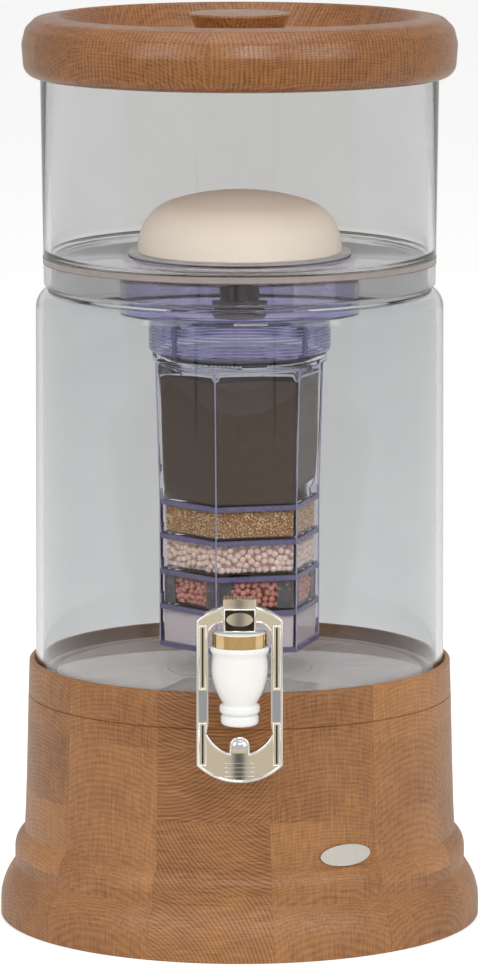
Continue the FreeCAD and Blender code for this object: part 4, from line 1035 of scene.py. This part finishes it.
@dataclass
class FilterHead:
    """The ceramic dome, its plate, and the bowl and nut under the floor."""

    shop: Workshop
    crown: float = 147.8
    dome_top: float = 445.6
    shoulder: float = 42.4
    dome_foot: float = 409.9
    bowl_top: float = 403.3
    bowl_low: float = 369.9
    bowl_radius: float = 72.5
    stem: float = 6.4

    def build(self) -> None:
        """Build the dome and the bowl, and dress what lies between them."""
        self.dome()
        self.shop.polish("dome_plate", "clear_moulding", "upper", "clear_plate")
        self.shop.polish("stem_nut", "grey_nylon", "upper", "grey_nut")
        self.bowl()

    def dome(self) -> None:
        """Build the ceramic dome as a shell with a flat crown and a round shoulder."""
        meet = self.dome_top - self.crown + math.sqrt(self.crown ** 2 - self.shoulder ** 2)
        corners = [(54.2, self.dome_foot, 0.6), (62.2, self.dome_foot, 1.2)]
        corners += arc((62.2, 412.8), (self.shoulder, meet), 27.75, 20)
        corners += arc((self.shoulder, meet), (0.0, self.dome_top), self.crown, 20)[1:]
        corners += arc((0.0, self.dome_top - 8.0), (40.1, 431.8), self.crown - 8.0, 12, left=False)
        corners += arc((40.1, 431.8), (54.2, 412.8), 19.75, 12, left=False)[1:]
        self.shop.turn("ceramic_dome_shell", rounded(corners), "fired_ceramic", "upper", "ceramic",
                       "ceramic_dome")

    def bowl(self) -> None:
        """Build the blue bowl and its darker rims."""
        outline = [(self.stem, self.bowl_top, 0.0), (self.bowl_radius, self.bowl_top, 1.0),
                   (self.bowl_radius, 375.0, 2.0), (56.0, self.bowl_low, 1.0), (51.0, self.bowl_low, 0.4),
                   (51.0, self.bowl_low + 2.5, 0.4), (69.9, 377.2, 1.5), (69.9, 401.0, 1.5),
                   (12.0, 401.0, 0.5), (12.0, 389.5, 0.3), (self.stem, 389.5, 0.3)]
        self.shop.turn("filter_bowl_shell", rounded(outline), "blue_polycarbonate", "upper", "blue_plastic",
                       "filter_bowl")
        self.shop.dress("silicone_rubber", "dome_gasket", "bowl_gasket")
        for name, radius, height in (("bowl_low_rim", 71.4, 375.6), ("bowl_top_rim", 71.6, 402.4)):
            edge = [(radius, height, 0.3), (radius + 1.2, height, 0.4), (radius + 1.2, height + 1.4, 0.4),
                    (radius, height + 1.4, 0.3)]
            self.shop.turn(name, rounded(edge, 3), "blue_edge", "upper", "blue_plastic")


@dataclass
class Cartridge:
    """The hexagonal cartridge: collar, shell, trays and beds."""

    shop: Workshop
    turn_deg: float = 13.5
    levels: tuple[float, ...] = (258.6, 237.6, 215.6, 194.1, 169.1)
    corner_low: float = 49.4
    corner_high: float = 50.0
    wall: float = 2.3
    floor: float = 2.2
    thread_turns: int = 8
    thread_step: float = 2.0
    bar_low: float = 351.6
    bar_high: float = 368.8
    carbon_top: float = 335.0

    def build(self) -> None:
        """Build every stage."""
        self.collar()
        self.shell()
        self.beds()
        self.pockets()

    def collar(self) -> None:
        """Build the clear collar, its thread lines and grip bars."""
        self.shop.polish("cartridge_collar", "blue_polycarbonate", "cartridge", "blue_plastic")
        thread = rounded([(55.3, 352.2, 0.0), (55.95, 352.7, 0.2), (55.3, 353.2, 0.0)], 2)
        first = lathe("collar_thread", thread, self.shop.finishes["lilac_edge"], 96)
        self.shop.row(first, self.thread_turns, (0.0, 0.0, self.thread_step), "lilac_edge", "cartridge",
                      "blue_plastic")
        for k in range(4):
            bar = box_mesh("bar", (54.6, -1.85, self.bar_low), (56.6, 1.85, self.bar_high), 0.4)
            bar.transform(Matrix.Rotation(math.radians(90 * k - 45), 4, "Z"))
            self.shop.keep(f"collar_bar_{k}", bar, "blue_edge", "cartridge", "blue_plastic")

    def shell(self) -> None:
        """Dress the shell and trays, and lay lines round their joints and down the corners."""
        self.shop.polish("cartridge_shell", "lilac_styrene", "cartridge", "shell_plastic", 25.0)
        self.shop.dress("blue_polycarbonate", "inlet_strainer")
        self.shop.dress("lilac_styrene", "granule_tray", "bead_tray", "pellet_tray", "mineral_tray")
        rings = [hexagonal(self.corner_high + reach, self.turn_deg) for reach in (0.5, -3.0)]
        for k, height in enumerate(self.levels):
            low = height if k == len(self.levels) - 1 else height - 2.0
            verts = [(x, y, z) for z in (low, low + 3.0) for ring in rings for x, y in ring]
            faces = []
            for i in range(6):
                j = (i + 1) % 6
                faces += [(i, j, 12 + j, 12 + i), (6 + j, 6 + i, 18 + i, 18 + j), (j, i, 6 + i, 6 + j),
                          (12 + i, 12 + j, 18 + j, 18 + i)]
            line = tidy(raw_mesh("joint_line", verts, faces))
            self.shop.keep(f"tray_joint_{k}", line, "blue_edge", "cartridge", "shell_plastic")
        ends = zip(hexagonal(50.1, self.turn_deg), hexagonal(52.6, self.turn_deg))
        for k, ((x, y), (u, v)) in enumerate(ends):
            path = [(x, y, 170.0), (x, y, 258.0), (u, v, 343.5)]
            self.shop.bend(f"shell_edge_{k}", path, 0.4, "lilac_edge", "cartridge", "shell_plastic")

    def pockets(self) -> None:
        """Stand the smoky corner blocks between the pockets of the pellet stage."""
        ring = hexagonal(self.corner_low - self.wall - 0.25, self.turn_deg)
        low, high = self.levels[3] + self.floor, self.levels[2] - self.floor
        faces = [(0, 1, 2, 3), (7, 6, 5, 4)] + [(i, (i + 1) % 4, 4 + (i + 1) % 4, 4 + i) for i in range(4)]
        for k, corner in enumerate(ring):
            here = Vector(corner)
            sides = [here + (Vector(ring[(k + step) % 6]) - here).normalized() * 9.5 for step in (1, -1)]
            verts = [(*v, z) for z in (low, high) for v in (here, sides[0], here * 0.78, sides[1])]
            block = tidy(raw_mesh("pocket_corner", verts, faces))
            self.shop.keep(f"pocket_corner_{k}", block, "smoky_styrene", "cartridge", "grey_nut")

    def beds(self) -> None:
        """Fill the stages with their media."""
        carbon = hex_prism("carbon", (47.3, 260.8), (49.7, self.carbon_top), self.turn_deg, 6)
        for vert in carbon.vertices:
            if vert.co.z > (self.carbon_top - 0.1) * MM:
                vert.co.z += 0.004 * (1 - (vert.co.xy.length / 0.05) ** 2)
        self.shop.keep("carbon_grains", tidy(carbon, 50.0), "activated_carbon", "cartridge", "carbon",
                       "carbon_fill")
        inset = self.wall + 0.3
        beds = (("granule_bed", "zeolite_granules", "zeolite_gap_shade", "granules", 0.9, 0.55, 17.5),
                ("bead_bed", "ceramic_balls", "ball_gap_shade", "beads", 2.1, 0.95, 19.2),
                ("pellet_bed", "red_ceramic_balls", "red_gap_shade", "pellets", 1.9, 0.95, 16.0))
        for stage, (node, finish, gap_shade, slot, grain, least, tall) in enumerate(beds):
            floor = self.levels[stage + 1] + self.floor
            top = floor + tall - grain
            reach = inset + grain * 1.15 + 0.2
            feeder = hex_prism(node, (self.corner_low - reach, floor + grain),
                               (self.corner_high - reach, top), self.turn_deg)
            values = {"Spacing": grain * 1.58 * MM, "Grain Radius": grain * MM, "Stretch": least,
                      "Finish": self.shop.finishes[finish]}
            source = new_object(f"{node}_grains", feeder, None)
            pile = run_tree(source, scatter_tree(f"{node}_packing", stage + 3), values)
            place(pile, "cartridge", slot, node)
            # A darker prism inside the bed, seen between the grains: painted shade
            deep = reach + grain * 0.4
            heart = hex_prism(f"{node}_heart", (self.corner_low - deep, floor + grain * 0.5),
                              (self.corner_high - deep, top), self.turn_deg)
            self.shop.keep(f"{node}_heart", tidy(heart), gap_shade, "cartridge", slot)
        sand = hex_prism("sand", (self.corner_low - inset, 171.3), (self.corner_high - inset, 192.6),
                         self.turn_deg, 3)
        self.shop.keep("mineral_sand_bed", tidy(sand, 50.0), "mineral_sand", "cartridge", "minerals",
                       "mineral_bed")
        self.shop.dress("grey_nylon", "pocket_divider")


@dataclass
class Tap:
    """The white tap, its trim and the valve inside."""

    shop: Workshop
    reach: float = 165.0
    outlet: float = 148.6
    lip: float = 11.2
    bonnet: float = 199.8
    shank_height: float = 184.0
    spring_top: float = 196.0
    lift: float = 1.6

    def build(self) -> None:
        """Build the body and shank, and dress the rest."""
        self.body()
        self.shop.polish("tap_bonnet_cap", "white_acetal", "lower", "white_plastic")
        self.shop.polish("tap_trim_ring", "gold_plate", "lower", "gold_trim")
        self.shop.dress("white_acetal", "tap_nut", "valve_stem")
        self.shop.dress("silicone_rubber", "tap_outer_washer", "tap_inner_washer", "valve_seal")
        coil = self.shop.polish("valve_spring", "stainless_steel", "lower", "steel")
        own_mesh(coil)

    def body(self) -> None:
        """Build the turned body with its beads, and the shank and flange behind it."""
        corners = [(6.9, 157.0, 0.0), (7.0, self.outlet, 0.4), (self.lip, self.outlet, 2.6),
                   (self.lip, 155.0, 2.6), (9.6, 155.4, 0.2), (12.0, 155.8, 2.4), (12.0, 161.2, 2.4),
                   (9.9, 161.4, 0.2)]
        corners += arc((9.9, 161.6), (16.6, 184.5), 38.0, 14)
        corners += [(16.0, 190.6, 2.5), (17.5, 193.6, 0.8), (17.5, 195.8, 0.8), (15.2, 196.1, 0.2),
                    (15.2, self.bonnet, 0.2), (11.0, self.bonnet, 0.0), (11.0, 172.0, 0.0), (4.5, 172.0, 0.0),
                    (4.5, 157.0, 0.0)]
        self.shop.turn("tap_body_turned", rounded(corners), "white_acetal", "lower", "white_plastic",
                       "tap_body", segments=96, at=(0.0, -self.reach))
        lie_down = Matrix(((1, 0, 0, 0), (0, 0, 1, 0), (0, -1, 0, self.shank_height * MM), (0, 0, 0, 1)))
        for name, radius, front, back in (("tap_shank", 8.0, -152.0, -103.0),
                                          ("tap_flange", 12.0, -131.0, -128.3)):
            outline = [(4.5, front, 0.0), (radius, front, 0.3), (radius, back, 0.6), (4.5, back, 0.0)]
            rod = lathe(name, rounded(outline), self.shop.finishes["white_acetal"], 64)
            rod.data.transform(lie_down)
            place(rod, "lower", "white_plastic", "tap_body")


@dataclass
class Lever:
    """The chromed lever frame with its beads, head block and grip ribs."""

    shop: Workshop
    face: float = -168.0
    half: float = 25.2
    rail: float = 21.8
    block_front: float = -171.7

    def build(self) -> None:
        """Build the frame's raised beads, panels and ribs on the cast frame."""
        self.shop.polish("lever_frame", "chromium_plate", "lever", "chrome", 30.0)
        self.shop.polish("lever_boss", "chromium_plate", "lever", "chrome", 30.0)
        self.shop.dress("stainless_steel", "lever_pin")
        side = self.half - 0.6
        rim = self.curve((-side, 125.0), (side, 125.0), 35.6, 16)
        rim += self.curve((side, 211.1), (-side, 211.1), 38.5, 16)
        self.trim("lever_outer_bead", rim, 0.85, closed=True)
        self.rails()
        edge = self.curve((-19.6, 143.0), (-5.4, 131.2), 21.7, 10)
        edge.append((-5.3, self.face - 0.15, 137.0))
        edge += self.curve((-5.3, 137.0), (5.3, 137.0), 5.4, 10, left=False)
        edge.append((5.3, self.face - 0.15, 131.2))
        edge += self.curve((5.4, 131.2), (19.6, 143.0), 21.7, 10)
        self.trim("lever_plate_bead", edge, 0.75)
        self.window()
        self.head_block()
        self.grips()

    def curve(self, start: Point, end: Point, radius: float, steps: int, left: bool = True) -> list[Corner]:
        """Points of an arc that lies on the lever's face."""
        return [(x, self.face - 0.15, z) for x, z, _ in arc(start, end, radius, steps, left)]

    def trim(self, name: str, path: list[Corner], radius: float, closed: bool = False) -> None:
        """Run a chromed bead along a path."""
        self.shop.bend(name, path, radius, "chromium_plate", "lever", "chrome", closed)

    def pad(self, name: str, low: Corner, high: Corner, bevel: float, finish: str) -> None:
        """Lay a bevelled pad on the lever."""
        self.shop.keep(name, box_mesh(name, low, high, bevel), finish, "lever", "chrome")

    def rails(self) -> None:
        """Frame the panels of both rails and lay the dull pads between them."""
        y = self.face - 0.15
        for side, hand in ((-1, "left"), (1, "right")):
            for name, low, high in (("upper", 170.4, 208.0), ("lower", 124.6, 149.8)):
                inner, outer = side * (self.rail - 1.9), side * (self.rail + 1.9)
                path = [(inner, y, low), (inner, y, high), (outer, y, high), (outer, y, low)]
                self.trim(f"lever_{name}_panel_{hand}", path, 0.5, closed=True)
            self.pad(f"lever_satin_{hand}", (side * self.rail - 2.9, self.face - 0.35, 150.8),
                     (side * self.rail + 2.9, self.face + 0.4, 169.4), 0.25, "satin_chromium")

    def window(self) -> None:
        """Line the inner edge of the opening, with a quarter turn at its upper corners."""
        y, bow, steps = self.face - 0.15, 8.6, 8
        quarter = [math.pi / 2 * (1 - k / steps) for k in range(steps + 1)]
        for side, hand in ((-1, "left"), (1, "right")):
            turn = [(side * (10.3 + bow * math.sin(a)), y, 201.9 + bow * math.cos(a)) for a in quarter]
            path = [(side * 18.9, y, 150.4)] + turn + [(side * 9.9, y, 210.5)]
            self.trim(f"lever_window_bead_{hand}", path, 0.5)

    def head_block(self) -> None:
        """Frame the head block's face with a dark plate of painted shade and reflection, and run strips of
        painted dark reflection down the rails.
        """
        front = self.block_front
        # Dark plate on the block's front: painted shade and reflection of its hollow face
        self.pad("block_face_painted_shade", (-8.6, front - 0.05, 205.6), (8.6, front + 0.4, 218.2), 0.2, "chromium_painted_dark")
        frame = [(-8.9, front, 205.4), (8.9, front, 205.4), (8.9, front, 218.4), (-8.9, front, 218.4)]
        self.trim("block_rim", frame, 0.6, closed=True)
        for side, hand in ((-1, "left"), (1, "right")):
            x = side * self.rail
            for name, low, high in (("upper", 171.6, 207.0), ("lower", 125.8, 148.8)):
                # Thin dark strips: painted reflection of the dark room in the rails
                self.pad(f"lever_{name}_flute_{hand}", (x - 0.55, self.face - 0.3, low),
                         (x + 0.55, self.face + 0.2, high), 0.1, "chromium_painted_dark")

    def grips(self) -> None:
        """Repeat the ribs of the push plate and the knurl of the thumb tab."""
        chrome = self.shop.finishes["chromium_plate"]
        rib = box_mesh("rib", (-9.0, self.face - 0.5, 117.6), (9.0, self.face + 0.3, 118.5), 0.3)
        tooth = box_mesh("tooth", (-9.4, -171.9, 219.6), (-8.4, -158.4, 224.7), 0.3)
        for name, mesh, count, step in (("lever_grip_ribs", rib, 4, (0.0, 0.0, 2.6)),
                                        ("lever_tab_knurl", tooth, 10, (1.96, 0.0, 0.0))):
            self.shop.row(new_object(name, mesh, chrome), count, step, "chromium_plate", "lever", "chrome")


@dataclass
class Studio:
    """Floor, soft light, world and camera, in metres."""

    far: float = 3.619
    high: float = 0.815
    pitch: float = 0.1501
    lens: float = 222.33
    shift: float = -0.0007
    aim: float = 0.28
    air: float = 0.62
    mirrored_air: float = 0.6
    floor_glow: float = 0.35

    def build(self) -> None:
        """Set up the studio."""
        self.floor()
        self.world()
        self.lamp("key_left", (-2.2, -2.4, 1.7), (1.7, 2.2), 27.0)
        self.lamp("key_right", (2.3, -2.3, 1.6), (1.7, 2.2), 27.0)
        self.lamp("top_soft", (0.0, -0.4, 3.0), (2.4, 2.4), 24.0)
        self.lamp("front_fill", (0.35, -3.2, 1.8), (1.1, 0.8), 19.0)
        self.cards()
        self.camera()

    def lamp(self, name: str, spot: Corner, size: Point, power: float) -> None:
        """Add one soft area light that faces the object.

        Args:
            name: Its name.
            spot: Where it hangs.
            size: Its width and height.
            power: Power in watts.
        """
        data = bpy.data.lights.new(name, "AREA")
        data.shape = "RECTANGLE"
        data.size, data.size_y = size
        data.energy = power
        lamp = bpy.data.objects.new(name, data)
        lamp.location = spot
        lamp.rotation_euler = (Vector((0, 0, self.aim)) - Vector(spot)).to_track_quat("-Z", "Y").to_euler()
        bpy.context.scene.collection.objects.link(lamp)

    def sheet(self, name: str, verts: list[Corner], material: bpy.types.Material, seen: bool = True) -> None:
        """Add one flat stage panel.

        Args:
            name: Name of the panel.
            verts: Its corners in order.
            material: Its material.
            seen: Whether it shows itself, and not only in mirrors.
        """
        panel = new_object(name, raw_mesh(name, verts, [tuple(range(len(verts)))], 1.0), material)
        panel.visible_camera = seen

    def floor(self) -> None:
        """Lay the pale floor, which keeps the object's shadow."""
        material, tree, shader = blank("studio_paper")
        fibres = add(tree, "ShaderNodeTexNoise", {"Scale": 900.0}).outputs["Fac"]
        bump = add(tree, "ShaderNodeBump", {"Distance": 0.0001}, {"Height": fibres})
        rays = add(tree, "ShaderNodeLightPath").outputs
        glow = Signal(rays["Is Camera Ray"]).step("MAXIMUM", Signal(rays["Is Transmission Ray"]))
        feed(shader, {"Base Color": srgb("#F4F4F3"), "Roughness": 0.9, "Normal": bump.outputs["Normal"],
                      "Emission Color": (1.0, 1.0, 1.0, 1.0), "Emission Strength": glow * self.floor_glow})
        self.sheet("floor", [(-8, -6, 0), (8, -6, 0), (8, 10, 0), (-8, 10, 0)], material)

    def cards(self) -> None:
        """Lay the mat and stand the dark posts that bright metal mirrors."""
        felts = []
        for title, colour in (("black_felt", "#2A2A28"), ("sand_felt", "#BDB19A")):
            material, _, shader = blank(title)
            feed(shader, {"Base Color": srgb(colour), "Roughness": 0.95})
            felts.append(material)
        black, sand = felts
        near, away = -3.3, -0.55
        for name, low, high, z, material in (("sand_mat", -2.6, 2.6, 0.001, sand),
                                             ("dark_cord", -0.004, 0.003, 0.002, black)):
            verts = [(low, near, z), (high, near, z), (high, away, z), (low, away, z)]
            self.sheet(name, verts, material, seen=False)
        for k, (x, y, wide) in enumerate(((-1.15, -2.5, 0.08), (-0.3, -5.0, 0.16), (0.9, -2.7, 0.07))):
            verts = [(x, y, 0), (x + wide, y, 0), (x + wide, y, 1.5), (x, y, 1.5)]
            self.sheet(f"dark_post_{k}", verts, black, seen=False)

    def world(self) -> None:
        """Light the room evenly; camera and refracted rays see white, mirrored rays a light grey."""
        world = bpy.data.worlds.new("studio_air")
        bpy.context.scene.world = world
        world.use_nodes = True
        tree = world.node_tree
        rays = add(tree, "ShaderNodeLightPath").outputs
        white = Signal(rays["Is Camera Ray"]).step("MAXIMUM", Signal(rays["Is Transmission Ray"]))
        sky = add(tree, "ShaderNodeMapRange", {"To Min": self.air, "To Max": self.mirrored_air},
                  {"Value": rays["Is Glossy Ray"]})
        strength = add(tree, "ShaderNodeMix", {3: 1.0}, {"Factor": white, 2: sky.outputs["Result"]})
        feed(tree.nodes["Background"], {"Color": (1.0, 1.0, 1.0, 1.0), "Strength": strength.outputs[0]})

    def camera(self) -> None:
        """Stand the camera where the photograph was taken from."""
        data = bpy.data.cameras.new("photo_camera")
        data.sensor_width = 36.0
        data.lens = self.lens
        data.shift_x = self.shift
        data.clip_end = 50.0
        camera = bpy.data.objects.new("photo_camera", data)
        camera.location = (0.0, -self.far, self.high)
        camera.rotation_euler = (math.pi / 2 - self.pitch, 0.0, 0.0)
        bpy.context.scene.collection.objects.link(camera)
        bpy.context.scene.camera = camera


def main() -> None:
    """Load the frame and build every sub-assembly."""
    logging.basicConfig(level=logging.INFO, format="%(name)s: %(message)s")
    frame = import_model()
    scene = bpy.context.scene
    scene.view_settings.view_transform = "Standard"
    shop = Workshop(frame["nodes"])
    shop.stock()
    for maker in (WoodenBase, Tanks, Lid, FilterHead, Cartridge, Tap, Lever):
        maker(shop).build()
        LOG.info("%s done", maker.__name__)
    Studio().build()
    bpy.context.view_layer.update()


if __name__ == "__main__":
    main()
